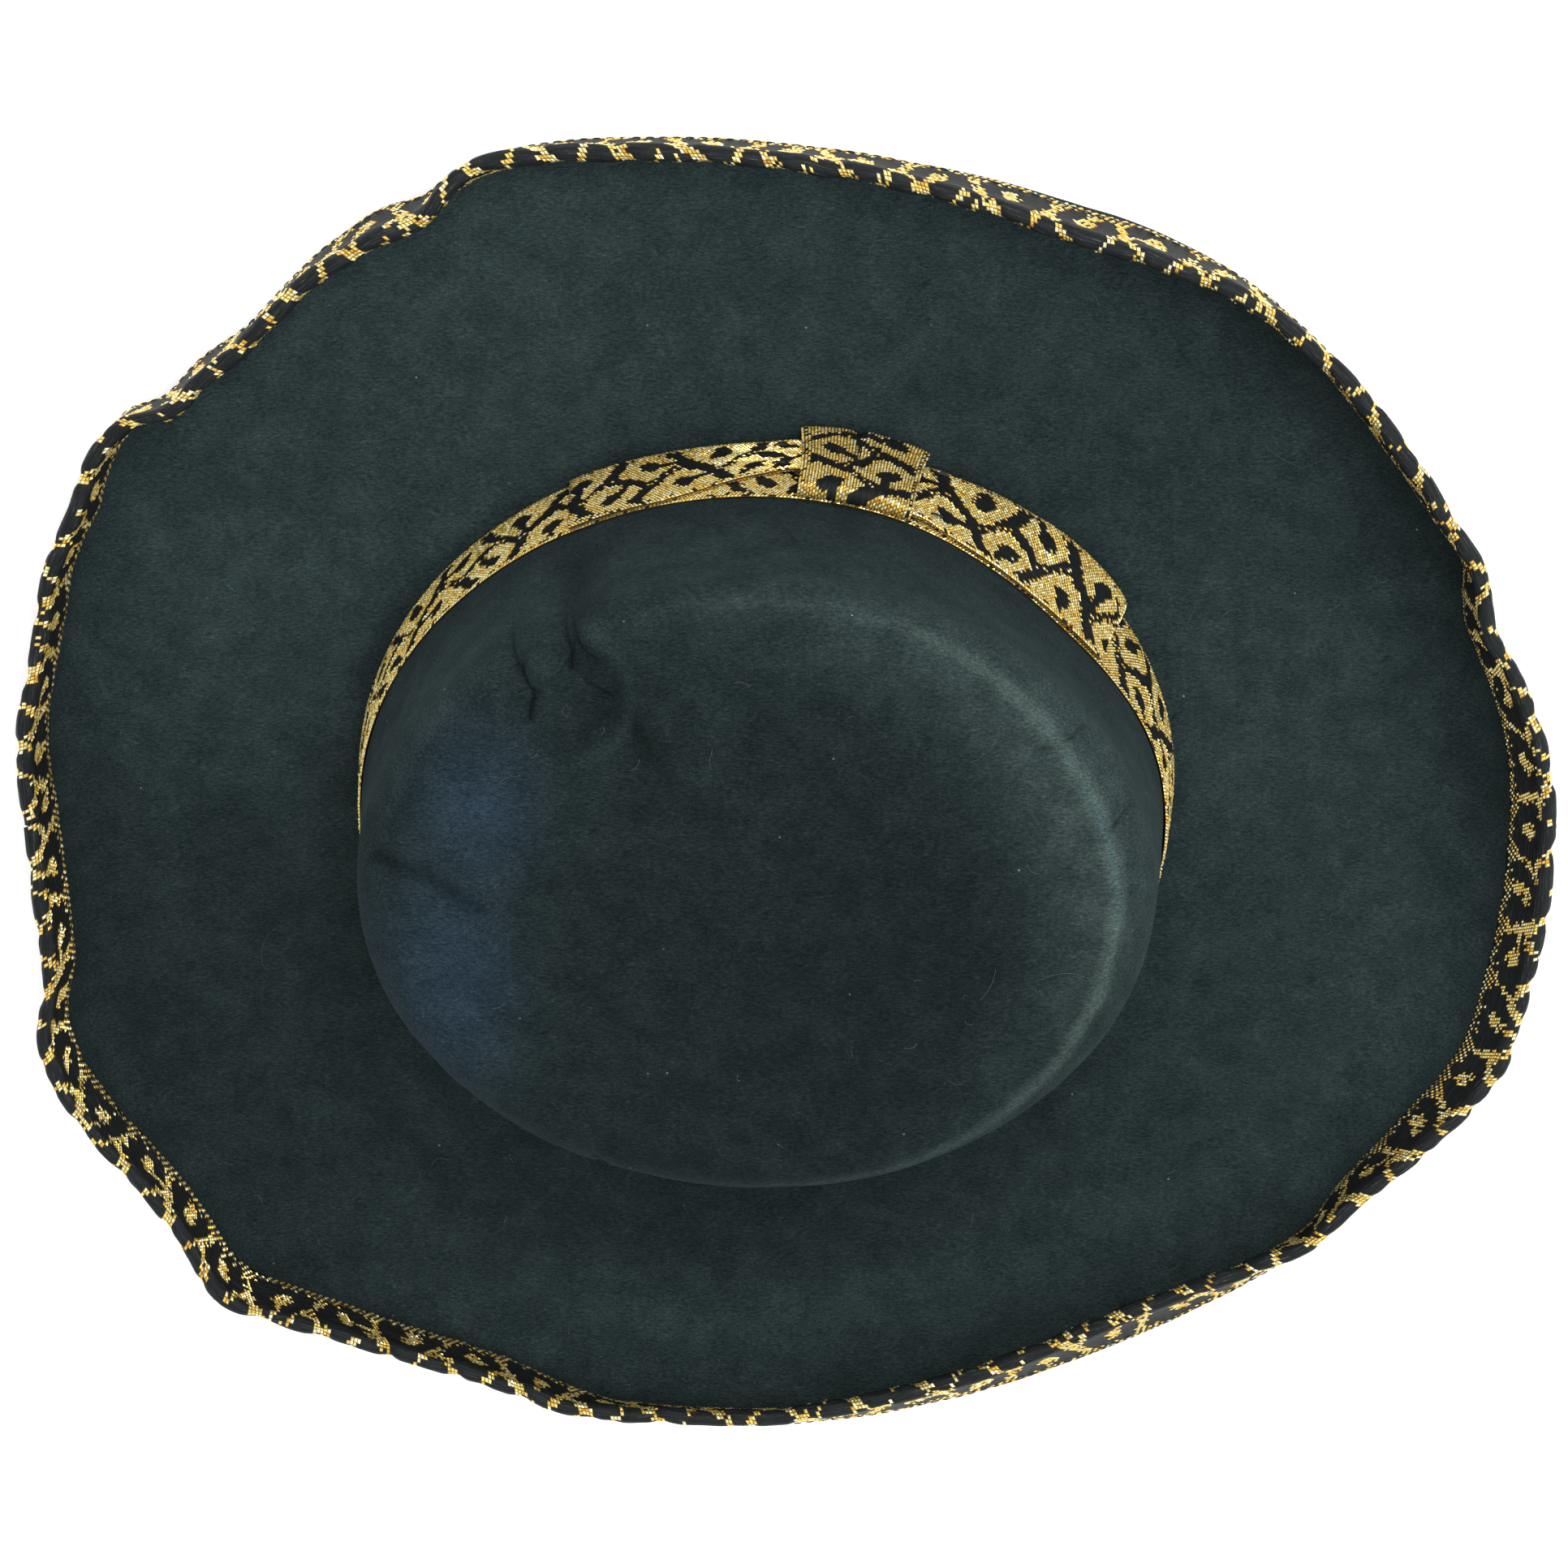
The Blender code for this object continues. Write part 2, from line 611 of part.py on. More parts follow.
def build():
    """Remove what the scene holds and make every piece of the hat."""
    for old in list(bpy.data.objects):
        bpy.data.objects.remove(old, do_unlink=True)
    felt = make_material("wool_felt", (0.018, 0.028, 0.030), 0.9)
    ribbon = make_material("jacquard_ribbon", (0.45, 0.31, 0.09), 0.4, 0.5)
    steel = make_material("spring_wire", (0.45, 0.45, 0.46), 0.35, 1.0)
    brass = make_material("brass_joiner", (0.60, 0.45, 0.20), 0.35, 1.0)
    sweat = make_material("sweatband_ribbon", (0.020, 0.020, 0.022), 0.8)
    thread = make_material("thread", (0.012, 0.012, 0.014), 0.7)
    band = FELT / 2 + GAP
    under = -band
    back = RAYS / 2
    sweat_face = under - SWEATBAND
    band_strip = wall_strip(BAND_BOTTOM, BAND_BOTTOM + RIBBON_WIDTH, band, band + RIBBON)
    sweat_strip = wall_strip(0.0, SWEATBAND_WIDTH, sweat_face, under)
    tape_strip = wall_strip(TAPE_BOTTOM, SWEATBAND_WIDTH, sweat_face - GAP - TAPE, sweat_face - GAP)
    nodes = [
        make_felt_body(felt),
        make_binding(ribbon),
        make_wire(steel),
        make_joiner(brass),
        make_binding_thread("binding_needle_thread", thread, 1),
        make_binding_thread("binding_bobbin_thread", thread, -1),
        make_wall_strip("hat_band", ribbon, band_strip, BAND_JOIN + END_GAP, BAND_JOIN + RAYS - END_GAP),
        make_bow_loops(ribbon),
        make_bow_knot(ribbon),
        make_wall_strip("sweatband", sweat, sweat_strip, back + END_GAP, back + RAYS - END_GAP),
        make_wall_strip("sweatband_tape", sweat, tape_strip, back - TAPE_HALF_RAYS, back + TAPE_HALF_RAYS),
        make_wall_thread("sweatband_thread", thread, SWEATBAND_SEAM, sweat_face, -1),
    ]
    nodes += make_band_tacks(thread)
    nodes += make_bow_tacks(thread)
    centre_on_origin(nodes)


build()
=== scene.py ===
"""The looks of a black felt hat with a gold and black jacquard ribbon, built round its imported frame.

Metres, +Z up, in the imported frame: +X is the front, +Y is the side with the bow. Shape functions work
about the middle of the crown, and make_piece moves the finished points to where the frame has it.
"""
import math

import bpy
import numpy as np
from mathutils import Matrix, Vector


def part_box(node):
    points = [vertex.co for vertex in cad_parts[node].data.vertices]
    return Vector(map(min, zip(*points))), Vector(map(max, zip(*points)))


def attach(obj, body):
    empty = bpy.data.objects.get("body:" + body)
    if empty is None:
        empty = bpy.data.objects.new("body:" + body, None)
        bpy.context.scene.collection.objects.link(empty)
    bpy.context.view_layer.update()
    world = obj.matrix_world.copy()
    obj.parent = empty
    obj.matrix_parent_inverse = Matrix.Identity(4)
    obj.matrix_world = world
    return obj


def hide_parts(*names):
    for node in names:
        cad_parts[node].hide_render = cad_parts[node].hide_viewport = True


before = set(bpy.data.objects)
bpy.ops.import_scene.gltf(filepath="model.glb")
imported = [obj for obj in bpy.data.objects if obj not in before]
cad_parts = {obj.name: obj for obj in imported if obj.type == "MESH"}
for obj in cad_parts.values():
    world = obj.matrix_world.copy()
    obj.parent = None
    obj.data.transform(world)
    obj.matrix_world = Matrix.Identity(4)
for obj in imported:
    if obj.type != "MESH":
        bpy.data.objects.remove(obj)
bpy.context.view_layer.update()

# Crown, measured on the middle of the felt at the foot of the wall.
CROWN_HALF_LENGTH = 0.1012
CROWN_HALF_WIDTH = 0.0837
CROWN_HEIGHT = 0.101
WALL_TAPER = math.radians(5.5)
FOOT_RADIUS = 0.0030
SHOULDER_RADIUS = 0.0130
TOP_DOME = 0.0025
FELT = 0.0026
FELT_EDGE = 0.0018
EDGE_TAPER = 0.014

# Ribbon, and the gaps that touching pieces keep.
RIBBON_WIDTH = 0.032
RIBBON = 0.00036
GAP = 0.0002
FOLD_RADIUS = 0.00132
FOLD_CENTRE = 0.0012
WIRE_CENTRE = 0.0014
WIRE_RADIUS = 0.0005
SLEEVE_RADIUS = 0.00080
SLEEVE_BORE = 0.00055
BINDING_SEAM = 0.0105
SWEATBAND = 0.0009
SWEATBAND_WIDTH = 0.030
SWEATBAND_SEAM = 0.0025
TAPE = 0.0005
TAPE_BOTTOM = 0.005
TAPE_HALF_ANGLE = 3.25
BAND_BOTTOM = 0.0005
BOW_BOTTOM = 0.0015

# Places round the crown, in degrees, and how deep its wall is pulled in at the pinch.
BAND_JOIN = 75.0
BINDING_JOIN = 182.5
SWEAT_JOIN = 180.0
WIRE_JOIN = 167.5
BOW_ENDS = (32.0, 117.5)
KNOT_ENDS = (68.0, 85.5)
BAND_TACKS = (172.5, 227.5, 282.5, 337.5)
PINCH_ANGLE = 41.0
PINCH_REACH = 24.0
PINCH_DEPTH = 0.0046

# Brim stations: angle in degrees, reach past the crown's foot, roll angle in degrees,
# length of the rolled strip. The reach is the widest point of the roll, seen from above.
BRIM_STATIONS = np.array((
    (0, 0.0930, 63, 0.036),
    (9, 0.0886, 68, 0.034),
    (15, 0.0838, 78, 0.032),
    (18, 0.0846, 82, 0.032),
    (21, 0.0862, 86, 0.033),
    (26, 0.0840, 85, 0.034),
    (34, 0.0834, 81, 0.034),
    (46, 0.0832, 85, 0.034),
    (58, 0.0810, 99, 0.034),
    (70, 0.0776, 97, 0.034),
    (84, 0.0771, 90, 0.032),
    (98, 0.0814, 86, 0.032),
    (106, 0.0854, 82, 0.032),
    (112, 0.0870, 76, 0.032),
    (116, 0.0824, 92, 0.032),
    (120, 0.0842, 98, 0.033),
    (124, 0.0828, 94, 0.034),
    (128, 0.0811, 92, 0.034),
    (134, 0.0786, 92, 0.034),
    (139, 0.0806, 96, 0.034),
    (143, 0.0812, 94, 0.034),
    (146, 0.0872, 86, 0.032),
    (150, 0.0880, 82, 0.032),
    (155, 0.0852, 80, 0.032),
    (160, 0.0856, 81, 0.032),
    (167, 0.0832, 82, 0.032),
    (175, 0.0838, 83, 0.032),
    (184, 0.0830, 82, 0.032),
    (196, 0.0871, 79, 0.032),
    (202, 0.0966, 79, 0.032),
    (209, 0.0990, 81, 0.032),
    (217, 0.0978, 84, 0.032),
    (222, 0.1003, 84, 0.032),
    (227, 0.1056, 80, 0.032),
    (232, 0.1004, 85, 0.032),
    (238, 0.0947, 90, 0.032),
    (244, 0.0921, 94, 0.032),
    (249, 0.0914, 97, 0.033),
    (254, 0.0939, 100, 0.034),
    (258, 0.0957, 110, 0.034),
    (264, 0.0950, 116, 0.034),
    (271, 0.0944, 118, 0.034),
    (284, 0.0927, 128, 0.034),
    (300, 0.0924, 134, 0.034),
    (310, 0.0938, 122, 0.034),
    (317, 0.0941, 106, 0.034),
    (322, 0.0913, 94, 0.034),
    (330, 0.0953, 77, 0.034),
    (337, 0.1000, 66, 0.034),
    (346, 0.0970, 62, 0.034),
))
ROLL_STEPS = 120
ROLL_FRACTION = 0.6
ROLL_POWER = 1.6

# Weave: one float of yarn is one cell of the ribbon's mesh. JAG roughens the motif's edges, and the ribbon
# thins over THIN_EDGE at its selvages. A bead's top lies up to APEX_SHIFT of a cell off the cell's middle.
# Black floats stand higher within about FOLD_REACH of the binding's fold. PROBE is a lift that shows which
# way a ribbon faces.
FLOAT_LENGTH = 0.00092
FLOATS_ACROSS = 40
BRICK = 0.5
BACK_STEP = 5
BEAD = 0.00034
MOTIF = 0.018
FACE_GROW = 1.02
REVERSE_GROW = 0.35
JAG = 0.00035
THIN_EDGE = 0.0011
APEX_SHIFT = 0.13
FOLD_REACH = 0.0038
PROBE = 0.004

# Stitches: the pitch of each seam, the share of it that shows, and a stitch's radius, lift and clearance.
BINDING_PITCH = 0.0032
SWEATBAND_PITCH = 0.0035
STITCH_SHARE = 0.62
STITCH_RADIUS = 0.00016
STITCH_LIFT = 0.00014
STITCH_CLEAR = 0.00005

# The foot's arc, and the shoulder's arc, both tangential to the wall.
WALL_TURN = math.pi / 2 - WALL_TAPER
FOOT_HEIGHT = FELT / 2 + FOOT_RADIUS
FOOT_END = (FOOT_RADIUS - FOOT_RADIUS * math.sin(WALL_TURN), FOOT_HEIGHT - FOOT_RADIUS * math.cos(WALL_TURN))
SHOULDER_HEIGHT = CROWN_HEIGHT - FELT / 2 - TOP_DOME - SHOULDER_RADIUS
WALL_HEIGHT = SHOULDER_HEIGHT + SHOULDER_RADIUS * math.sin(WALL_TAPER) - FOOT_END[1]
SHOULDER_REACH = FOOT_END[0] - WALL_HEIGHT * math.tan(WALL_TAPER) - SHOULDER_RADIUS * math.cos(WALL_TAPER)

low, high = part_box("sweatband")
CENTRE = np.array(((low.x + high.x) / 2, (low.y + high.y) / 2, 0.0))


# ---- numbers ----

def smooth(values, start, end):
    """0 before start, 1 after end, and an even S between them."""
    share = np.clip((np.asarray(values, float) - start) / (end - start), 0.0, 1.0)
    return share * share * (3.0 - 2.0 * share)


def bump(values, centre, half_width):
    """A rounded bump of height 1."""
    return np.exp(-((np.asarray(values, float) - centre) / half_width)**2)


def turn_between(angles, centre):
    """Signed difference of angles in degrees, from -180 to 180."""
    return (np.asarray(angles, float) - centre + 180.0) % 360.0 - 180.0


def wander(points, cell, seed):
    """Smooth noise between -1 and 1, with bumps about one cell apart."""
    grid = np.asarray(points, float) / cell + 17.31 * (seed + 1)
    base = np.floor(grid).astype(np.int64)
    part = grid - base
    part = part * part * (3.0 - 2.0 * part)
    total = 0.0
    for corner in range(8):
        shift = np.array([corner & 1, corner >> 1 & 1, corner >> 2 & 1])
        at = base + shift
        code = (at[..., 0] * 73856093) ^ (at[..., 1] * 19349663) ^ (at[..., 2] * 83492791)
        code = (code ^ (code >> 13)) * 1274126177
        value = (code >> 8 & 0xFFFF) / 32767.5 - 1.0
        total = total + value * np.prod(np.where(shift, part, 1.0 - part), axis=-1)
    return total


def line_distance(x, y, line):
    """Distance in the plane from many points to a line through a few points."""
    best = np.full(np.broadcast(x, y).shape, np.inf)
    for (ax, ay), (bx, by) in zip(line[:-1], line[1:]):
        length = (bx - ax)**2 + (by - ay)**2
        share = np.clip(((x - ax) * (bx - ax) + (y - ay) * (by - ay)) / length, 0.0, 1.0)
        best = np.minimum(best, np.hypot(x - ax - share * (bx - ax), y - ay - share * (by - ay)))
    return best


# ---- the hat's shape ----

def around(angles, column):
    """Periodic smooth interpolation of one column of the brim stations, angles in degrees."""
    xs = BRIM_STATIONS[:, 0]
    ys = BRIM_STATIONS[:, column]
    count = len(xs)
    angles = np.asarray(angles, float) % 360.0
    i = np.searchsorted(xs, angles, side="right") - 1
    j = (i + 1) % count
    k = (i + 2) % count
    span = (xs[j] - xs[i]) % 360.0
    slope_i = (ys[j] - ys[i - 1]) / ((xs[i] - xs[i - 1]) % 360.0 + span)
    slope_j = (ys[k] - ys[i]) / (span + (xs[k] - xs[j]) % 360.0)
    t = (angles - xs[i]) / span
    value = (2 * t**3 - 3 * t**2 + 1) * ys[i] + (3 * t**2 - 2 * t**3) * ys[j]
    return value + span * ((t**3 - 2 * t**2 + t) * slope_i + (t**3 - t**2) * slope_j)


def place(angles, reach, height):
    """Points at angles round the crown, a reach past its foot, and a height."""
    a = np.radians(angles)
    x = (CROWN_HALF_LENGTH + reach) * np.cos(a)
    y = (CROWN_HALF_WIDTH + reach) * np.sin(a)
    return np.stack(np.broadcast_arrays(x, y, height), axis=-1)


def ring_points(angles, radius=0.18):
    """Points on a circle, so that noise read from them closes on itself."""
    a = np.radians(angles)
    return np.stack((radius * np.cos(a), radius * np.sin(a), np.zeros_like(a)), axis=-1)


def half_felt(inward):
    """Half of the felt's thickness, a distance in from its edge: the rim is pressed thinner."""
    return 0.5 * (FELT_EDGE + (FELT - FELT_EDGE) * smooth(inward, 0.0, EDGE_TAPER))


class BrimRays:
    """The middle line of the brim's felt along many rays."""

    def __init__(self, angles):
        self.angles = np.asarray(angles, float)
        ring = ring_points(self.angles)
        reach = around(self.angles, 1) + 0.0006 * wander(ring, 0.022, 1) + 0.0002 * wander(ring, 0.007, 2)
        roll = np.radians(around(self.angles, 2) + 3.0 * wander(ring, 0.028, 3))
        self.strip = around(self.angles, 3)
        turn = np.linspace(0.0, 1.0, ROLL_STEPS)
        self.slope = roll[:, None] * np.clip(turn / ROLL_FRACTION, 0, 1)**ROLL_POWER
        step = self.strip[:, None] / (ROLL_STEPS - 1)
        middle = 0.5 * (self.slope[:, 1:] + self.slope[:, :-1])
        zero = np.zeros((len(self.angles), 1))
        out = np.concatenate((zero, np.cumsum(np.cos(middle) * step, axis=1)), axis=1)
        rise = np.concatenate((zero, np.cumsum(np.sin(middle) * step, axis=1)), axis=1)
        self.start = reach - out.max(axis=1)
        self.length = self.start + self.strip
        self.reach = self.start[:, None] + out
        self.height = FELT / 2 + rise

    def section(self, along, offset):
        """Reach and height at distances along each ray, offset towards the upper face."""
        along, offset = np.broadcast_arrays(along, offset)
        spot = (along - self.start[:, None]) / self.strip[:, None] * (ROLL_STEPS - 1)
        inside = np.clip(spot, 0.0, ROLL_STEPS - 1.000001)
        first = inside.astype(int)
        share = inside - first
        rows = np.arange(len(self.angles))[:, None]

        def read(table):
            return table[rows, first] * (1 - share) + table[rows, first + 1] * share

        flat = np.minimum(along - self.start[:, None], 0.0)
        beyond = np.maximum(along - self.length[:, None], 0.0)
        slope = read(self.slope)
        reach = read(self.reach) + flat + beyond * np.cos(slope) - offset * np.sin(slope)
        height = read(self.height) + beyond * np.sin(slope) + offset * np.cos(slope)
        return reach, height

    def points(self, along, offset):
        """Points beside the brim's middle line."""
        reach, height = self.section(along, offset)
        return place(self.angles[:, None], reach, height)


def pinch(angles, height):
    """How far the crown's wall is pulled in beside the front loop of the bow."""
    around_it = bump(turn_between(angles, PINCH_ANGLE), 0.0, PINCH_REACH)
    return PINCH_DEPTH * around_it * smooth(height, 0.004, 0.036) * (1 - smooth(height, 0.055, 0.090))


def wall_points(angles, up, offset):
    """Points beside the crown's wall, a distance up from its foot and an offset from the felt's middle."""
    reach = FOOT_END[0] - up * math.sin(WALL_TAPER) + offset * math.cos(WALL_TAPER)
    height = FOOT_END[1] + up * math.cos(WALL_TAPER) + offset * math.sin(WALL_TAPER)
    return place(angles, reach - pinch(angles, height), height)


def path_lengths(points):
    """Distances along a row of points from the first one."""
    return np.concatenate(([0.0], np.cumsum(np.linalg.norm(np.diff(points, axis=0), axis=1))))


def arc_table(path, start, end, margin=10.0, steps=5000):
    """Angles, distances along a path from its start, and its whole length, for laying ribbon at its real
    length. The table runs on past both ends, because ribbon is cut on the slant."""
    angles = np.linspace(start - margin, end + margin, steps)
    lengths = path_lengths(path(angles))
    lengths -= np.interp(start, angles, lengths)
    return angles, lengths, float(np.interp(end, angles, lengths))


# ---- meshes ----

def volume(points, faces):
    """Six times the signed volume under fans of equal polygons."""
    total = 0.0
    a = points[faces[:, 0]]
    for k in range(1, faces.shape[1] - 1):
        total += np.einsum("ij,ij->", a, np.cross(points[faces[:, k]], points[faces[:, k + 1]]))
    return total


def add_object(name, data):
    """A new object in the scene."""
    thing = bpy.data.objects.new(name, data)
    bpy.context.scene.collection.objects.link(thing)
    return thing


def make_piece(name, points, groups, materials, replaces, attributes=()):
    """A named mesh from points and groups of (faces, material index, smooth), riding on the root body."""
    points = np.asarray(points, float)
    if sum(volume(points, faces) for faces, _, _ in groups) < 0:
        groups = [(faces[:, ::-1], index, shade) for faces, index, shade in groups]
    mesh = bpy.data.meshes.new(name)
    mesh.vertices.add(len(points))
    mesh.vertices.foreach_set("co", (points + CENTRE).astype(np.float32).ravel())
    corners = np.concatenate([faces.ravel() for faces, _, _ in groups])
    sizes = np.concatenate([np.full(len(faces), faces.shape[1]) for faces, _, _ in groups])
    mesh.loops.add(len(corners))
    mesh.loops.foreach_set("vertex_index", corners.astype(np.int32))
    mesh.polygons.add(len(sizes))
    mesh.polygons.foreach_set("loop_start", np.concatenate(([0], np.cumsum(sizes)[:-1])).astype(np.int32))
    indices = np.concatenate([np.full(len(faces), index) for faces, index, _ in groups])
    mesh.polygons.foreach_set("material_index", indices.astype(np.int32))
    shades = np.concatenate([np.full(len(faces), shade) for faces, _, shade in groups])
    mesh.polygons.foreach_set("use_smooth", shades)
    for material in materials:
        mesh.materials.append(material)
    for label, kind, domain, field, values in attributes:
        layer = mesh.attributes.new(label, kind, domain)
        layer.data.foreach_set(field, np.asarray(values, np.float32).ravel())
    mesh.update(calc_edges=True)
    piece = add_object(name, mesh)
    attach(piece, "root")
    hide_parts(*replaces)
    return piece


def grid_faces(rows, columns, first=0, closed=False):
    """Quads over a grid of points that are numbered row by row."""
    i = np.arange(rows if closed else rows - 1)[:, None]
    j = np.arange(columns - 1)[None, :]
    here = i * columns + j
    there = (i + 1) % rows * columns + j
    return first + np.stack((here, here + 1, there + 1, there), axis=-1).reshape(-1, 4)


def sweep(sections, closed):
    """Quads that join rings of points, with a cap polygon at each open end."""
    rows, sides = sections.shape[:2]
    i = np.arange(rows if closed else rows - 1)[:, None]
    j = np.arange(sides)[None, :]
    here, there = i * sides, (i + 1) % rows * sides
    ahead = (j + 1) % sides
    quads = np.stack((here + j, here + ahead, there + ahead, there + j), axis=-1).reshape(-1, 4)
    if closed:
        return [quads]
    ends = np.stack((np.arange(sides)[::-1], (rows - 1) * sides + np.arange(sides)))
    return [quads, ends]


def tube_sections(path, radius, sides):
    """Rings round a path of points. The rings keep to one side of a fixed direction."""
    path = np.asarray(path, float)
    tangent = np.gradient(path, axis=0)
    tangent /= np.linalg.norm(tangent, axis=1)[:, None]
    guide = (0.31, 0.17, 0.94) if abs(tangent[:, 2]).mean() < 0.8 else (0.9, 0.3, 0.1)
    side = np.cross(tangent, guide)
    side /= np.linalg.norm(side, axis=1)[:, None]
    other = np.cross(tangent, side)
    a = 2 * math.pi * np.arange(sides) / sides
    radius = np.broadcast_to(radius, len(path))[:, None, None]
    return path[:, None] + radius * (np.cos(a)[:, None] * side[:, None] + np.sin(a)[:, None] * other[:, None])


def join_parts(parts):
    """One set of points and face groups from many (points, faces list) parts."""
    points, groups, count = [], {}, 0
    for part, faces in parts:
        part = part.reshape(-1, 3)
        for group in faces:
            groups.setdefault(group.shape[1], []).append(group + count)
        points.append(part)
        count += len(part)
    return np.concatenate(points), [(np.concatenate(group), 0, True) for group in groups.values()]


# ---- the ribbon's weave ----

# The motif, in millimetres. Each row of cells lies beside one selvage, and the sides of the cells lean one
# way and the other in turn: a lean is how far a side shifts along for each millimetre away from the selvage.
RIBBON_MM = 1000.0 * RIBBON_WIDTH
LEANS = (0.54, -0.40)
HEART_LEANS = (0.34, -0.24)
CELL_MIDDLE = 8.6
CELL_HALF = 8.1
CORNER = 0.6
BORDER = 1.1
SELVAGE = 1.3
HEART = (2.3, 3.0)
SMALL_HEART = (1.6, 2.2)
THREAD = 0.40
THREAD_SWING = 1.1


def leaf_pattern(along, across, grow):
    """Where the ribbon's face is gold: slanted cells with open black hearts, set in two staggered rows and
    parted by a black zigzag. grow widens the black parts, in millimetres."""
    s = along / MOTIF
    t = across * 1000.0
    wave = 2 * math.pi * s
    zigzag = RIBBON_MM / 2 + 3.1 * np.arcsin(0.96 * np.cos(wave)) + 0.7 * np.sin(2 * wave + 0.7)
    gold = np.zeros(np.broadcast(s, t).shape, bool)
    for row in (0, 1):
        shifted = s + 0.5 * (1 + row)
        number = np.floor(shifted)
        x = (shifted - number - 0.5) * MOTIF * 1000.0
        y, border = (t, zigzag) if row == 0 else (RIBBON_MM - t, RIBBON_MM - zigzag)
        even = number % 2 == 0
        lean_here = np.where(even, *LEANS)
        lean_before = np.where(even, *LEANS[::-1])
        middle = y - CELL_MIDDLE
        walls = (CELL_HALF - grow - (x - lean_here * middle), CELL_HALF - grow + (x - lean_before * middle),
                 border - BORDER - grow - y, y - SELVAGE - 0.5 * grow)
        room = -CORNER * np.log(sum(np.exp(np.clip(-wall / CORNER, -60, 60)) for wall in walls))
        kind = (number * 5 + row * 3) % 4
        side = x - np.where(even, *HEART_LEANS) * middle - 0.5
        size = 1.0 + 0.13 * grow + np.where(kind == 3, 0.12, 0.0)
        hole = np.hypot(side / HEART[0], (middle + 0.2) / HEART[1]) < size
        hole |= (kind == 3) & (np.hypot((side + 1.1) / SMALL_HEART[0], (middle + 4.0) / SMALL_HEART[1]) < 1.0)
        hole |= (kind == 1) & (middle > 0) & (np.abs(side - 0.9) < 0.75 + 0.5 * grow)
        hole |= (kind == 2) & (x > 0) & (np.abs(middle - 0.9) < 0.7 + 0.5 * grow)
        hole |= (kind == 0) & (middle < 0) & (np.abs(side + 0.8) < 0.4 + 0.5 * grow)
        gold |= (room > 0.0) & ~hole
    thread = np.abs(t - zigzag - THREAD_SWING * np.sin(wave)) < THREAD
    return gold, thread & (np.sin(wave) > -0.2)


def soften(cells, rounds, closed):
    """Blur a table of cells, wrapping along a closed ribbon and holding at its edges."""
    cells = cells.astype(float)
    for _ in range(rounds):
        wide = np.pad(cells, ((1, 1), (0, 0)), mode="wrap" if closed else "edge")
        cells = (wide[:-2] + wide[1:-1] + wide[2:]) / 3
        wide = np.pad(cells, ((0, 0), (1, 1)), mode="edge")
        cells = (wide[:, :-2] + wide[:, 1:-1] + wide[:, 2:]) / 3
    return cells


def weave_mask(along, across, face, random):
    """Gold cells of a ribbon's face or its reverse, with dotted selvages."""
    cells = np.broadcast(along, across).shape
    i = np.arange(cells[0])[:, None]
    j = np.arange(cells[1])[None, :]
    edge = np.minimum(j, cells[1] - 1 - j)
    chance = random.random(cells)
    gold, thread = leaf_pattern(along, across, FACE_GROW if face == "face" else REVERSE_GROW)
    if face == "reverse":
        near = soften(~gold, 2, True)
        scattered = ((i + edge) % 2 == 0) & (chance < 0.12 + 1.3 * near)
        inside = np.where(edge < 5, scattered, ~gold & (chance < 0.42 + 0.55 * near))
        return np.where(edge == 0, (i % 2 == 0) & (chance < 0.85), inside)
    gold |= thread & (chance < 0.7)
    gold |= (edge == 2) & (chance < 0.4)
    return np.where(edge == 0, chance < 0.90, np.where(edge == 1, chance < 0.70, gold))


def black_share(gold, lines, closed):
    """How much black lies round each corner of the cells, from 0 to 1."""
    raised = soften(~gold, 3, closed)
    wide = np.pad(raised, ((1, 1), (1, 1)), mode="edge")
    if closed:
        wide[0, 1:-1], wide[-1, 1:-1] = raised[-1], raised[0]
    return 0.25 * (wide[:-1, :-1] + wide[1:, :-1] + wide[:-1, 1:] + wide[1:, 1:])[:lines]


def bead_tops(front, beads, outward, random):
    """The top of each gold float, a little off its middle. outward is 1 or -1."""
    a, b, c, d = (front[beads[:, k]] for k in range(4))
    normal = np.cross(c - a, d - b)
    normal /= np.linalg.norm(normal, axis=1)[:, None] + 1e-12
    u, v = (0.5 + APEX_SHIFT * random.uniform(-1, 1, (len(beads), 1)) for _ in range(2))
    tops = (1 - u) * ((1 - v) * a + v * b) + u * ((1 - v) * d + v * c)
    return tops + normal * outward * BEAD * random.uniform(0.75, 1.2, (len(beads), 1))


def ribbon_sides(lines, columns, layers, back, closed):
    """Quads along both selvages, between the face and the back, whose points start at number back."""
    i = np.arange(lines if closed else lines - 1)
    ahead = (i + 1) % lines
    last = columns - 1
    near = (i * columns, ahead * columns, back + ahead * layers, back + i * layers)
    far = (ahead * columns + last, i * columns + last, back + i * layers + layers - 1,
           back + ahead * layers + layers - 1)
    return np.concatenate((np.stack(near, -1), np.stack(far, -1)))


def ribbon_ends(lines, columns, layers, back):
    """Polygons over both cut ends: BACK_STEP floats of the face against one step of the back."""
    ends = []
    for row, step in ((0, 1), (lines - 1, -1)):
        for k in range(layers - 1):
            fine = row * columns + np.arange(k * BACK_STEP, (k + 1) * BACK_STEP + 1)
            rough = back + row * layers + np.array((k + 1, k))
            ends.append(np.concatenate((fine[::-1], rough[::-1]))[::step])
    return np.array(ends)


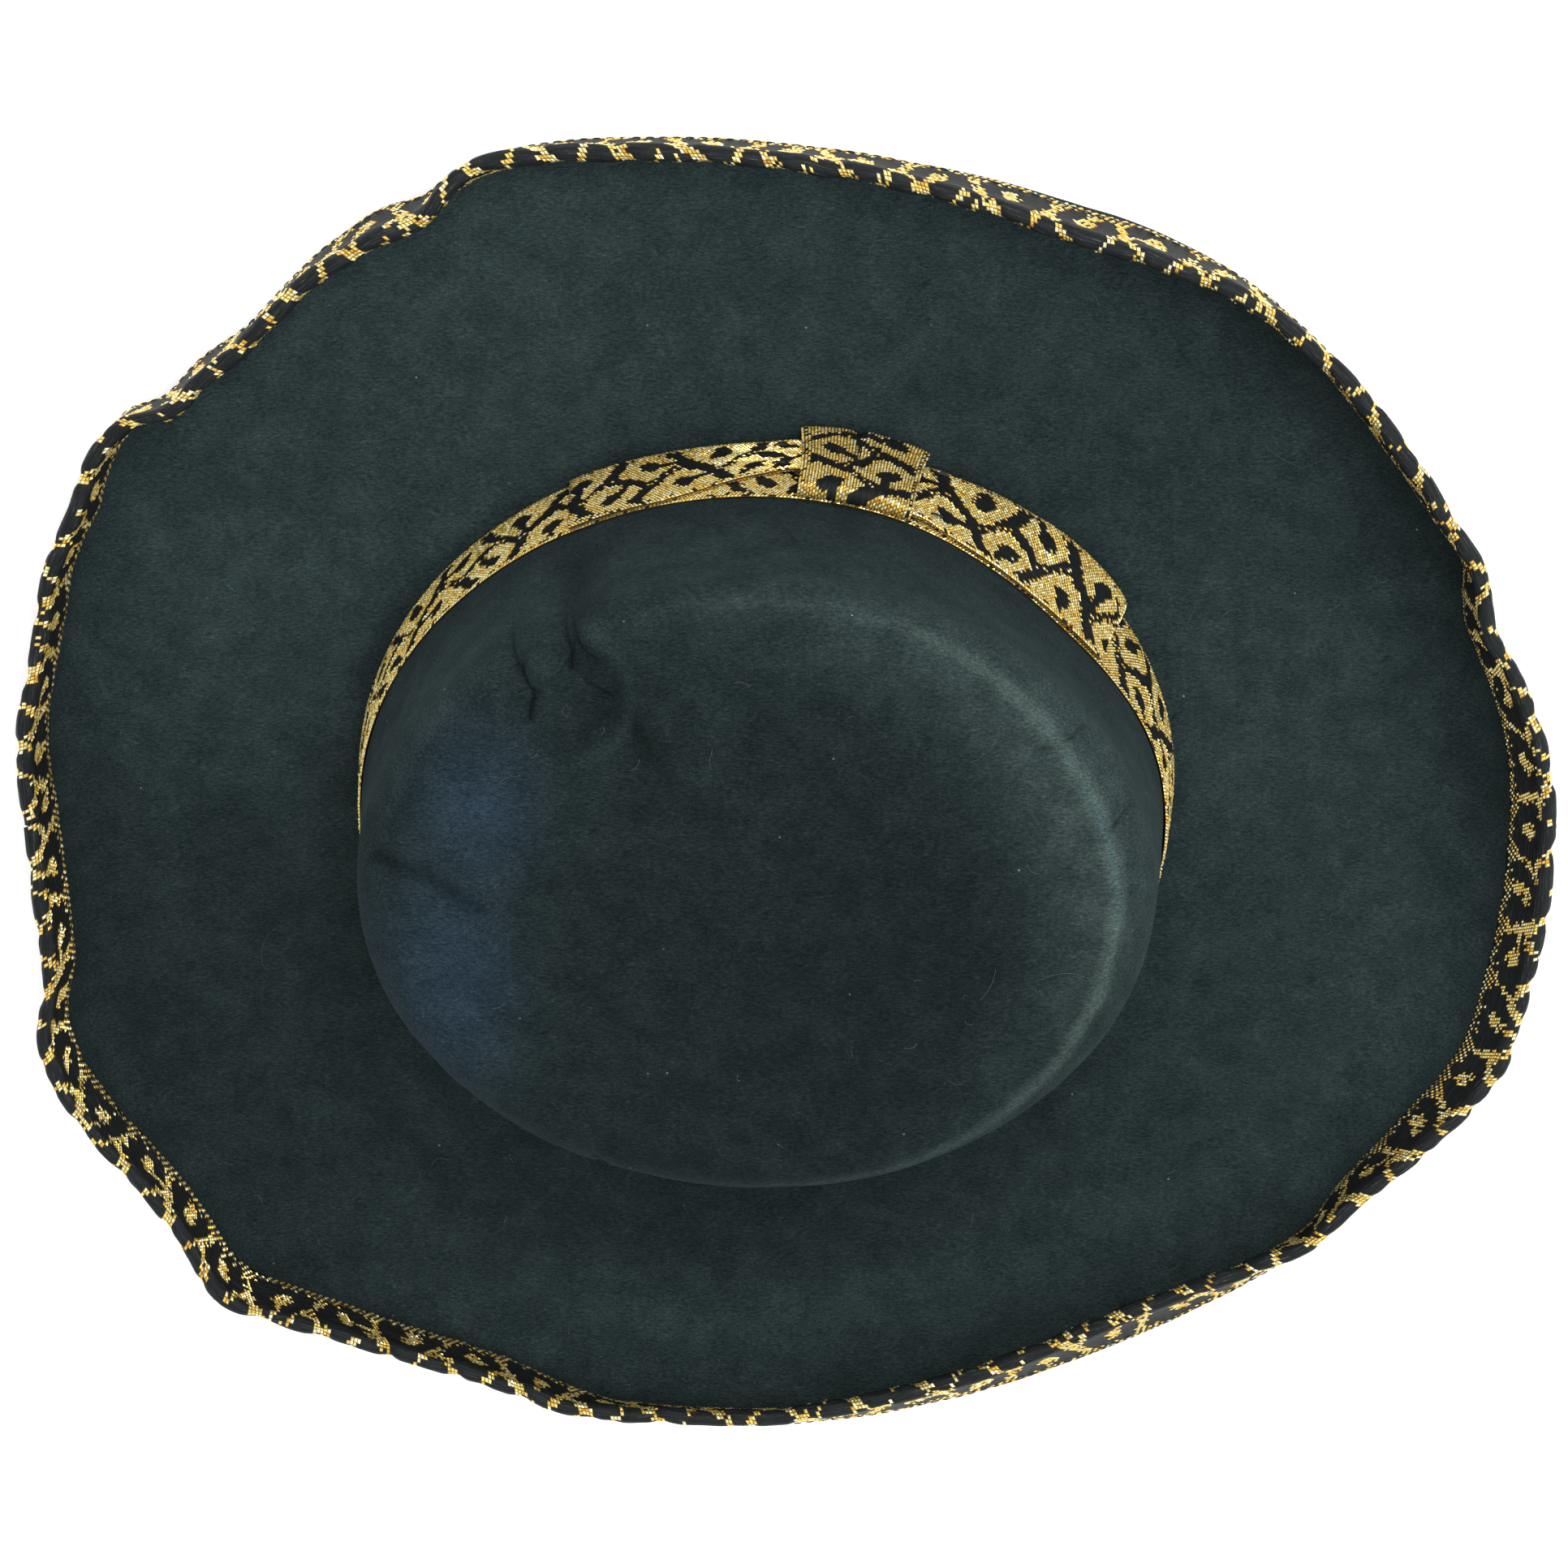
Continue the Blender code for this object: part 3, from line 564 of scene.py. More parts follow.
def weave_ribbon(name, lay, length, face, replaces, start, puff, closed=False, fold=0.0):
    """A ribbon as one thin closed mesh, with a raised bead for each gold float and black floats that puff.

    lay(s, t, lift) gives points: s is the distance along, t across, and lift out of the ribbon. Each line
    of floats across the ribbon is set half a float on, so the beads pack like bricks. Black floats stand
    puff high, and fold higher along the ribbon's middle.
    """
    random = np.random.default_rng(sum(name.encode()))
    count = int(round(length / FLOAT_LENGTH))
    pitch = length / count
    lines = count if closed else count + 1
    columns = FLOATS_ACROSS + 1
    column = np.arange(columns)
    s = pitch * (np.arange(lines)[:, None] + BRICK * (column - FLOATS_ACROSS / 2))
    t = np.broadcast_to(column * RIBBON_WIDTH / FLOATS_ACROSS, s.shape)
    cell = np.arange(FLOATS_ACROSS) + 0.5
    cell_s = start + pitch * (np.arange(count)[:, None] + 0.5 + BRICK * (cell - FLOATS_ACROSS / 2))
    cell_t = np.broadcast_to(cell * RIBBON_WIDTH / FLOATS_ACROSS, cell_s.shape)
    jag = JAG * random.standard_normal(cell_s.shape)
    gold = weave_mask(cell_s + jag, cell_t, face, random)

    edge = smooth(np.minimum(t, RIBBON_WIDTH - t), 0.0, THIN_EDGE)
    swell = puff + fold * bump(t, RIBBON_WIDTH / 2, FOLD_REACH)
    puffed = swell * smooth(black_share(gold, lines, closed), 0.30, 0.95)
    front = lay(s, t, RIBBON * (0.75 * edge - 0.25) + puffed)
    coarse = np.arange(0, columns, BACK_STEP)
    layers = len(coarse)
    back_s, back_t = s[:, coarse], t[:, coarse]
    back = lay(back_s, back_t, np.full((lines, layers), -RIBBON / 2))

    quads = grid_faces(lines, columns, closed=closed)
    beads = quads[gold.ravel()]
    out = lay(s[:2, :2], t[:2, :2], np.full((2, 2), PROBE)) - front[:2, :2]
    upward = np.cross(front[1, 1] - front[0, 0], front[1, 0] - front[0, 1]) @ out[0, 0] > 0
    tops = bead_tops(front.reshape(-1, 3), beads, 1.0 if upward else -1.0, random)
    first_top = front.size // 3
    first_back = first_top + len(tops)
    peaks = first_top + np.arange(len(beads))
    facets = [np.stack((beads[:, k], beads[:, (k + 1) % 4], peaks), axis=-1) for k in range(4)]
    groups = [
        (np.stack(facets, axis=1).reshape(-1, 3), 0, False),
        (quads[~gold.ravel()], 1, True),
        (grid_faces(lines, layers, first=first_back, closed=closed)[:, ::-1], 1, True),
        (ribbon_sides(lines, columns, layers, first_back, closed), 0, True),
    ]
    if not closed:
        groups.append((ribbon_ends(lines, columns, layers, first_back), 1, False))

    points = np.concatenate((front.reshape(-1, 3), tops, back.reshape(-1, 3)))
    weave = np.zeros((len(points), 3))
    for axis, (fine, rough) in enumerate(((s, back_s), (t, back_t))):
        weave[:first_top, axis] = fine.ravel()
        weave[first_back:, axis] = rough.ravel()
    weave[first_top:first_back] = weave[beads[:, 0]]
    rise = np.zeros(len(points))
    rise[first_top:first_back] = 1.0
    tones = [np.repeat(random.random(len(beads)), 4)]
    tones += [random.random(len(faces)) for faces, _, _ in groups[1:]]
    attributes = [
        ("weave", "FLOAT_VECTOR", "POINT", "vector", weave),
        ("rise", "FLOAT", "POINT", "value", rise),
        ("tone", "FLOAT", "FACE", "value", np.concatenate(tones)),
    ]
    return make_piece(name, points, groups, [GOLD_LOOK, SATIN_LOOK], replaces, attributes)


# ---- materials ----

class Surface:
    """A material with one Principled BSDF and short ways to add nodes to it."""

    def __init__(self, name, **constants):
        self.material = bpy.data.materials.new(name)
        self.material.use_nodes = True
        self.tree = self.material.node_tree
        self.shader = self.tree.nodes["Principled BSDF"]
        for key, value in constants.items():
            self.shader.inputs[key.replace("_", " ")].default_value = value

    def add(self, kind, values=None, **settings):
        """A node, with its settings, and its inputs set or linked by name or number."""
        node = self.tree.nodes.new(kind)
        for key, value in settings.items():
            setattr(node, key, value)
        for key, value in (values or {}).items():
            if isinstance(value, bpy.types.NodeSocket):
                self.tree.links.new(value, node.inputs[key])
            else:
                node.inputs[key].default_value = value
        return node

    def place(self):
        """The point's place in metres."""
        return self.add("ShaderNodeTexCoord").outputs["Object"]

    def math(self, operation, first, second=0.0, third=0.0):
        """The result of a Math node."""
        return self.add("ShaderNodeMath", {0: first, 1: second, 2: third}, operation=operation).outputs[0]

    def total(self, first, *others):
        """The sum of (value, share) pairs, each value times its share."""
        total = self.math("MULTIPLY", *first)
        for value, share in others:
            total = self.math("MULTIPLY_ADD", value, share, total)
        return total

    def vector_math(self, operation, first, second):
        """The result of a Vector Math node."""
        return self.add("ShaderNodeVectorMath", {0: first, 1: second}, operation=operation).outputs[0]

    def turned(self, vector, degrees, scale):
        """Coordinates turned about the upright axis and stretched."""
        values = {"Vector": vector, "Rotation": (0, 0, math.radians(degrees)), "Scale": scale}
        return self.add("ShaderNodeMapping", values).outputs[0]

    def noise(self, vector, scale=1.0, detail=2.0, roughness=0.5):
        """The value of a noise texture."""
        values = {"Vector": vector, "Scale": scale, "Detail": detail, "Roughness": roughness}
        return self.add("ShaderNodeTexNoise", values).outputs["Fac"]

    def stretched_noise(self, vector, stretch, detail, roughness):
        """Noise with its own scale along each axis."""
        return self.noise(self.vector_math("MULTIPLY", vector, stretch), 1.0, detail, roughness)

    def ramp(self, value, stops):
        """Colours along a value."""
        node = self.add("ShaderNodeValToRGB", {"Fac": value})
        elements = node.color_ramp.elements
        while len(elements) < len(stops):
            elements.new(0.5)
        for element, (spot, colour) in zip(elements, stops):
            element.position = spot
            element.color = (*colour, 1.0)
        return node.outputs["Color"]

    def mix(self, share, first, second, kind="MIX"):
        """Two colours mixed. A colour is a socket or three numbers."""
        colours = [(*value, 1.0) if isinstance(value, tuple) else value for value in (first, second)]
        values = {0: share, 6: colours[0], 7: colours[1]}
        return self.add("ShaderNodeMix", values, data_type="RGBA", blend_type=kind).outputs[2]

    def attribute(self, name, output="Vector"):
        """A value stored on the mesh."""
        return self.add("ShaderNodeAttribute", attribute_name=name).outputs[output]

    def finish(self, colour, roughness=None, height=None, strength=0.5, distance=0.0002):
        """Link the results to the shader."""
        normal = None
        if height is not None:
            values = {"Height": height, "Strength": strength, "Distance": distance}
            normal = self.add("ShaderNodeBump", values).outputs["Normal"]
        for key, result in (("Base Color", colour), ("Roughness", roughness), ("Normal", normal)):
            if result is not None:
                self.tree.links.new(result, self.shader.inputs[key])
        return self.material


def felt_material():
    """Pressed wool felt: short combed fibres, pale flecks, slow mottling, and a stored tone with painted
    light and shade.
    """
    s = Surface("pressed_felt", Sheen_Weight=0.025, Sheen_Roughness=0.40, Sheen_Tint=(0.60, 0.80, 0.80, 1.0),
                Specular_IOR_Level=0.02, Roughness=0.95)
    here = s.place()
    flow = s.add("ShaderNodeTexNoise", {"Vector": here, "Scale": 60.0, "Detail": 1.0}).outputs["Color"]
    flow = s.vector_math("SUBTRACT", flow, (0.5, 0.5, 0.5))
    flow = s.add("ShaderNodeVectorMath", {0: flow, "Scale": 0.004}, operation="SCALE").outputs[0]
    bent = s.vector_math("ADD", here, flow)
    fibres = s.noise(s.turned(bent, 8, (760, 2400, 1700)), 1.0, 3.0, 0.65)
    strays = s.noise(s.turned(bent, -52, (600, 2600, 1700)), 1.0, 3.0, 0.65)
    grain = s.noise(here, 2300.0, 3.0, 0.7)
    mottle = s.noise(here, 110.0, 4.0, 0.6)
    blend = s.total((grain, 0.30), (fibres, 0.34), (strays, 0.22), (mottle, 0.18))
    colour = s.ramp(blend, [(0.38, (0.0052, 0.0092, 0.0097)), (0.50, (0.0135, 0.0212, 0.0220)),
                            (0.60, (0.0250, 0.0370, 0.0378)), (0.72, (0.0620, 0.0790, 0.0780))])
    flecks = s.add("ShaderNodeTexVoronoi", {"Vector": bent, "Scale": 230.0})
    near = s.math("LESS_THAN", flecks.outputs["Distance"], 0.060)
    picked = s.add("ShaderNodeSeparateColor", {"Color": flecks.outputs["Color"]})
    chosen = s.math("MULTIPLY", near, s.math("GREATER_THAN", picked.outputs[0], 0.95))
    colour = s.mix(s.math("MULTIPLY", chosen, 0.7), colour, (0.20, 0.24, 0.23))
    # Multiply by the stored tone, which holds painted light and shade as well as mottling.
    colour = s.mix(1.0, colour, s.attribute("tone_and_light", "Color"), "MULTIPLY")
    height = s.total((grain, 0.5), (fibres, 0.6), (strays, 0.45))
    return s.finish(colour, None, height, 0.6, 0.00030)


def gold_material():
    """Flat metallic yarn: each float its own tone, with painted shade where it dips under its neighbours."""
    s = Surface("gold_yarn", Metallic=0.70)
    tone = s.attribute("tone", "Fac")
    colour = s.ramp(tone, [(0.0, (0.70, 0.36, 0.055)), (0.25, (1.0, 0.66, 0.13)),
                           (0.65, (1.0, 0.84, 0.30)), (1.0, (1.0, 0.96, 0.64))])
    # Painted shade in the gaps between the beads.
    values = {"Value": s.attribute("rise", "Fac"), "From Min": 0.0, "From Max": 0.42}
    gap_shade = s.add("ShaderNodeMapRange", values, interpolation_type="SMOOTHSTEP").outputs["Result"]
    colour = s.mix(gap_shade, (0.12, 0.058, 0.010), colour)
    wrap = s.stretched_noise(s.attribute("weave"), (2500, 6500, 1), 2.0, 0.6)
    rough = s.math("MULTIPLY_ADD", wrap, 0.24, 0.13)
    return s.finish(colour, rough, wrap, 0.3, 0.00006)


def satin_material():
    """Black silk floats that run along the ribbon, with a painted sheen on some strands."""
    s = Surface("black_silk", Specular_IOR_Level=0.10)
    weave = s.attribute("weave")
    strand = s.stretched_noise(weave, (140, 4200, 1), 2.0, 0.55)
    broken = s.stretched_noise(weave, (900, 2600, 1), 2.0, 0.5)
    blend = s.total((broken, 0.25), (strand, 0.75))
    # The pale strands are a painted sheen.
    colour = s.ramp(blend, [(0.40, (0.0082, 0.0098, 0.0101)), (0.54, (0.0130, 0.0154, 0.0157)),
                            (0.63, (0.0260, 0.0298, 0.0298)), (0.74, (0.095, 0.102, 0.100))])
    rough = s.math("MULTIPLY_ADD", broken, 0.25, 0.38)
    return s.finish(colour, rough, blend, 0.9, 0.00028)


def grosgrain_material():
    """Ribbed black ribbon: fine ribs across it, dull, with a painted sheen on their crests."""
    s = Surface("ribbed_black_ribbon", Specular_IOR_Level=0.35, Sheen_Weight=0.15, Sheen_Roughness=0.5)
    weave = s.attribute("weave")
    ribs = s.add("ShaderNodeTexWave", {"Vector": weave, "Scale": 320.0, "Distortion": 0.25, "Detail": 1.0},
                 wave_type="BANDS", bands_direction="X").outputs["Fac"]
    fuzz = s.stretched_noise(weave, (2600, 900, 1), 3.0, 0.6)
    blend = s.total((fuzz, 0.4), (ribs, 0.6))
    # The pale rib crests are a painted sheen.
    colour = s.ramp(blend, [(0.15, (0.006, 0.006, 0.007)), (0.6, (0.016, 0.017, 0.019)),
                            (0.95, (0.040, 0.041, 0.045))])
    rough = s.math("MULTIPLY_ADD", fuzz, 0.25, 0.60)
    return s.finish(colour, rough, blend, 0.8, 0.0003)


def thread_material(name, dark, light):
    """Twisted sewing thread."""
    s = Surface(name, Specular_IOR_Level=0.4, Sheen_Weight=0.1)
    here = s.place()
    ply = s.add("ShaderNodeTexWave", {"Vector": here, "Scale": 900.0, "Distortion": 3.0, "Detail": 2.0},
                wave_type="BANDS", bands_direction="DIAGONAL").outputs["Fac"]
    fuzz = s.noise(here, 3000.0, 2.0, 0.6)
    blend = s.total((fuzz, 0.4), (ply, 0.6))
    colour = s.ramp(blend, [(0.2, dark), (0.9, light)])
    return s.finish(colour, s.math("MULTIPLY_ADD", fuzz, 0.2, 0.55), blend, 0.6, 0.0001)


def metal_material(name, dark, light, scale):
    """Drawn metal with fine scratches."""
    s = Surface(name, Metallic=1.0)
    scratches = s.stretched_noise(s.place(), (300, 300, scale), 4.0, 0.6)
    colour = s.ramp(scratches, [(0.3, dark), (0.7, light)])
    return s.finish(colour, s.math("MULTIPLY_ADD", scratches, 0.25, 0.22), scratches, 0.3, 0.0001)


FELT_LOOK = felt_material()
GOLD_LOOK = gold_material()
SATIN_LOOK = satin_material()
GROSGRAIN_LOOK = grosgrain_material()
THREAD_LOOK = thread_material("black_thread", (0.004, 0.004, 0.005), (0.030, 0.031, 0.034))
FIBRE_LOOK = thread_material("pale_fibre", (0.05, 0.062, 0.062), (0.19, 0.21, 0.205))
WIRE_LOOK = metal_material("spring_wire", (0.30, 0.30, 0.31), (0.55, 0.55, 0.56), 2400)
BRASS_LOOK = metal_material("brass_sleeve", (0.42, 0.28, 0.10), (0.72, 0.54, 0.24), 1800)


# ---- felt ----

# Marks on the crown, seen from above, in millimetres from its middle. A mark is its place and its radius, a
# crack is its line, its half width and its depth.
PUCKER_ANGLE = 128.0
VALLEY_ANGLE = 117.0
DENT = (-44.5, 51.0, 16.5)
KNOB = (-49.8, 58.2, 4.2)
LOBE = (-36.4, 66.2, 4.0)
CRACKS = (
    (((-57.5, 71.0), (-57.3, 64.0), (-56.3, 59.3), (-54.1, 56.2), (-51.4, 51.2), (-52.4, 44.9)), 1.0, 2.3),
    (((-45.5, 69.2), (-44.9, 66.1), (-43.1, 62.8), (-42.8, 58.2)), 1.0, 2.0),
    (((-43.6, 68.0), (-41.8, 66.6), (-39.5, 62.5), (-37.0, 61.0)), 0.9, 1.1),
    (((-39.2, 54.4), (-36.7, 53.0), (-33.0, 51.0)), 0.8, 1.1),
    (((-53.4, 58.6), (-52.6, 54.0), (-50.0, 52.6)), 0.8, 0.9),
    (((65.1, 39.6), (69.6, 39.7), (76.2, 42.5)), 0.8, 1.0),
    (((80.6, 17.4), (82.8, 19.9), (86.1, 23.1)), 0.8, 1.1),
    (((-36.6, -69.0), (-38.5, -65.9)), 1.0, 1.2),
)
CREASE = ((-87.9, 11.1), (-80.4, 8.0), (-72.8, 4.6), (-66.0, -1.0))
WRINKLES = 7
RIDGE_HALF_LENGTH = 84.0
RIDGE_HALF_WIDTH = 73.0
RIDGE_RADIUS = 78.0

# Worn nap and a painted highlight along the ridge: share, width, how far outside the ridge, its angle and
# reach, whether streaked.
WORN_AND_LIT = (
    (1.75, 1.3, 0.0, 2.0, 64.0, True),
    (1.05, 13.0, -3.0, 22.0, 50.0, True),
    (0.30, 1.6, 4.5, 155.0, 20.0, False),
    (0.25, 5.0, 0.0, 88.0, 26.0, False),
)

# A painted bluish sheen at the left: middle, how many times as long as wide, half width.
BLUE_SHEEN = ((-64.0, 24.0, 1.3, 14.0), (-71.0, -18.0, 1.9, 15.0))

# The felt's mesh, and the stray hairs on it. One hair in LONG_HAIRS is a long one.
FELT_RAYS = 560
SHOULDER_ROWS = 14
WALL_ROWS = 12
FOOT_ROWS = 3
BRIM_ROWS = 12
ROLL_ROWS = 29
CROWN_HAIRS = 26
BRIM_HAIRS = 70
LONG_HAIRS = 14
HAIR_STEPS = 9


def crown_rows():
    """The crown's middle surface from near the centre of its top to its foot: reach, height, share."""
    rows = []
    for share in np.concatenate(((0.003, 0.02), np.linspace(0.07, 0.54, 5), np.linspace(0.60, 1.0, 42))):
        rows.append((SHOULDER_REACH, SHOULDER_HEIGHT + SHOULDER_RADIUS + TOP_DOME * (1 - share**2), share))
    for turn in np.linspace(0.0, WALL_TURN, SHOULDER_ROWS + 1)[1:]:
        rows.append((SHOULDER_REACH + SHOULDER_RADIUS * math.sin(turn),
                     SHOULDER_HEIGHT + SHOULDER_RADIUS * math.cos(turn), 1.0))
    top = rows[-1]
    for share in np.linspace(0.0, 1.0, WALL_ROWS + 1)[1:]:
        rows.append((top[0] + (FOOT_END[0] - top[0]) * share, top[1] + (FOOT_END[1] - top[1]) * share, 1.0))
    for turn in np.linspace(WALL_TURN, 0.0, FOOT_ROWS + 1)[1:]:
        reach = FOOT_RADIUS - FOOT_RADIUS * math.sin(turn)
        rows.append((reach, FOOT_HEIGHT - FOOT_RADIUS * math.cos(turn), 1.0))
    return np.array(rows)


def felt_angles():
    """Angles of the felt's rays, closer together beside the pucker in the crown."""
    fine = np.linspace(0.0, 360.0, 1441)
    density = 1.0 + 1.4 * bump(turn_between(fine, PUCKER_ANGLE), 0.0, 20.0)
    total = np.concatenate(([0.0], np.cumsum(0.5 * (density[1:] + density[:-1]))))
    return np.interp(np.arange(FELT_RAYS) / FELT_RAYS, total / total[-1], fine)


def felt_middle(angles):
    """A grid of points on the middle of the felt, from the top of the crown to the edge, and half of the
    felt's thickness there."""
    rows = crown_rows()
    reach, height, share = rows[:, 0], rows[:, 1], rows[:, 2]
    pulled = reach[None, :] - pinch(angles[:, None], height[None, :])
    crown = place(angles[:, None], pulled, height[None, :])
    crown[..., :2] *= share[None, :, None]
    rays = BrimRays(angles)
    flat = np.linspace(0.0, 1.0, BRIM_ROWS + 1)[1:]
    roll = np.linspace(0.0, 1.0, ROLL_ROWS + 1)[1:]
    along = np.concatenate((FOOT_RADIUS + (rays.start[:, None] - FOOT_RADIUS) * flat,
                            rays.start[:, None] + rays.strip[:, None] * roll), axis=1)
    crown_half = np.full(crown.shape[:2], FELT / 2)
    half = np.concatenate((crown_half, half_felt(rays.length[:, None] - along)), axis=1)
    return np.concatenate((crown, rays.points(along, 0.0)), axis=1), half, len(rows)


def grid_normals(grid):
    """Unit normals of a grid that closes along its first axis, pointing up or outwards."""
    ahead = np.roll(grid, -1, axis=0) - np.roll(grid, 1, axis=0)
    down = np.gradient(grid, axis=1)
    normal = np.cross(down, ahead)
    return normal / np.linalg.norm(normal, axis=-1)[..., None]


def away(x, y, spot):
    """Distance in the plane from a spot."""
    return np.hypot(x - spot[0], y - spot[1])


def crown_valley(x, y, z, angles):
    """How deep in the valley that runs down the wall from the dent, from 0 to 1."""
    arc = turn_between(angles, VALLEY_ANGLE)[:, None] * 1.6
    in_dent = smooth(z, 70.0, 90.0) * (1 - smooth(away(x, y, DENT), 12.0, 19.0))
    return bump(arc, 0.0, 5.4) * smooth(z, 34.0, 62.0) * (1 - in_dent) * smooth(y, 20.0, 50.0)


def ridge_distance(x, y):
    """Distance in millimetres from the worn ridge round the crown's top: positive outside it."""
    return (np.hypot(x / RIDGE_HALF_LENGTH, y / RIDGE_HALF_WIDTH) - 1.0) * RIDGE_RADIUS


def felt_marks(grid, angles, crown_count):
    """How far the felt is pushed out along its normal by creases, dents and slow unevenness."""
    x, y, z = (grid[..., k] * 1000.0 for k in range(3))
    on_top = smooth(z, 70.0, 90.0)
    crown = np.arange(grid.shape[1]) < crown_count
    push = 0.35 * wander(grid, 0.030, 5) + 0.12 * wander(grid, 0.009, 6)
    push *= np.where(crown[None, :], 1.0, 0.55)
    push -= 2.6 * crown_valley(x, y, z, angles) * crown
    dent_away = away(x, y, DENT)
    push -= on_top * 3.4 * (1 - smooth(dent_away / DENT[2], 0.70, 1.04))
    turn = np.arctan2(y - DENT[1], x - DENT[0])
    wrinkles = np.sin(WRINKLES * turn + 2.0 * wander(grid, 0.012, 8)) * bump(dent_away, 11.0, 6.0)
    push += on_top * 0.45 * wrinkles
    for spot, height in ((KNOB, 3.6), (LOBE, 1.5)):
        push += on_top * height * bump(away(x, y, spot), 0.0, spot[2])
    for line, width, depth in CRACKS:
        push -= on_top * depth * bump(line_distance(x, y, line), 0.0, width)
    push -= on_top * 1.5 * bump(line_distance(x, y, CREASE), 0.0, 2.6)
    push += 0.5 * on_top * bump(ridge_distance(x, y), 0.0, 2.2) * smooth(x, 10.0, 50.0)
    return push / 1000.0


# Painted light and shade on the brim, against the felt's own colour: angle in degrees, beside the crown,
# halfway, near the rim.
BRIM_PAINTED_LIGHT = np.array((
    (0, 1.28, 1.20, 0.84),
    (40, 1.02, 0.96, 0.98),
    (80, 1.18, 1.20, 1.38),
    (120, 1.38, 1.28, 1.52),
    (160, 1.50, 1.45, 1.32),
    (190, 1.12, 0.98, 0.86),
    (225, 0.86, 0.88, 0.85),
    (265, 0.60, 0.74, 1.22),
    (300, 0.80, 0.90, 1.38),
    (340, 1.08, 1.00, 1.25),
))


def brim_painted_light(x, y):
    """The brim's painted light and shade round the hat and from the crown out to the rim."""
    angle = np.degrees(np.arctan2(y, x)) % 360.0
    near, middle, rim = (np.interp(angle, BRIM_PAINTED_LIGHT[:, 0], BRIM_PAINTED_LIGHT[:, k], period=360.0) for k in (1, 2, 3))
    foot = np.hypot(x / (1000.0 * CROWN_HALF_LENGTH), y / (1000.0 * CROWN_HALF_WIDTH))
    out = np.hypot(x, y) * (1.0 - 1.0 / np.maximum(foot, 0.5))
    return near + (middle - near) * smooth(out, 20.0, 46.0) + (rim - middle) * smooth(out, 46.0, 76.0)


def felt_tone_and_painted_light(grid, angles, crown_count):
    """The felt's colour against its base: mottling and worn nap, and painted light and shade on ridge,
    hollows and brim.
    """
    x, y, z = (grid[..., k] * 1000.0 for k in range(3))
    a = np.degrees(np.arctan2(y, x))
    on_top = smooth(z, 80.0, 94.0)
    on_ridge = smooth(z, 78.0, 90.0)
    on_wall = smooth(z, 30.0, 60.0)
    brim = np.where(np.arange(grid.shape[1]) < crown_count, 0.0, 1.0)[None, :]
    # Painted light and shade on the brim; the crown's wall is paler and its top darker.
    level = 1.0 + on_wall * (0.12 + 0.16 * smooth(-x, 20.0, 80.0)) + brim * (brim_painted_light(x, y) - 1.0)
    level -= on_top * (0.52 - 0.08 * smooth(y, 0.0, 45.0))
    ridge = ridge_distance(x, y) + 0.5 * wander(grid, 0.008, 11)
    streaks = 1.0 + 0.22 * wander(grid, 0.0035, 12)
    # Worn nap, and a painted highlight where the ridge faces the light.
    worn_and_lit = 0.0
    for share, width, outside, angle, reach, streaked in WORN_AND_LIT:
        part = share * bump(ridge - outside, 0.0, width) * bump(turn_between(a, angle), 0.0, reach)
        worn_and_lit = worn_and_lit + (part * streaks if streaked else part)
    worn_and_lit = on_ridge * worn_and_lit
    level += worn_and_lit
    dent_away = away(x, y, DENT)
    # A painted highlight on the dent's rim, and painted shade inside the dent.
    level += 0.26 * on_top * bump(dent_away, DENT[2] - 0.3, 1.4) * smooth(x, -46.0, -38.0)
    level -= 0.22 * on_top * bump(dent_away, 9.5, 4.0) * smooth(x, -48.0, -38.0)
    # Painted highlights on the knob and the lobe.
    for spot in (KNOB, LOBE):
        level += 0.20 * on_top * bump(away(x, y, spot), 0.0, 0.8 * spot[2])
    # Painted shade in the cracks, the crease and the valley.
    for line, width, depth in CRACKS:
        level -= on_top * min(0.42 * depth, 0.75) * bump(line_distance(x, y, line), 0.0, 0.85 * width)
    level -= on_top * 0.32 * bump(line_distance(x, y + 0.8, CREASE), 0.0, 2.2)
    level -= 0.34 * crown_valley(x, y, z, angles) * (1.0 - brim)
    # A painted bluish sheen on the left of the crown.
    blue_sheen = [bump(np.hypot(x - px, (y - py) / tall), 0.0, size) for px, py, tall, size in BLUE_SHEEN]
    blue_sheen = on_ridge * np.maximum(*blue_sheen)
    level += 0.38 * blue_sheen
    level *= 1.0 + 0.07 * wander(grid, 0.045, 7) + 0.05 * wander(grid, 0.012, 9)
    tone_and_light = np.stack((level * (1 - 0.10 * blue_sheen + 0.05 * worn_and_lit), level * (1 + 0.02 * blue_sheen),
                     level * (1 + 0.42 * blue_sheen - 0.05 * worn_and_lit)), axis=-1)
    return np.clip(tone_and_light, 0.12, 2.9)


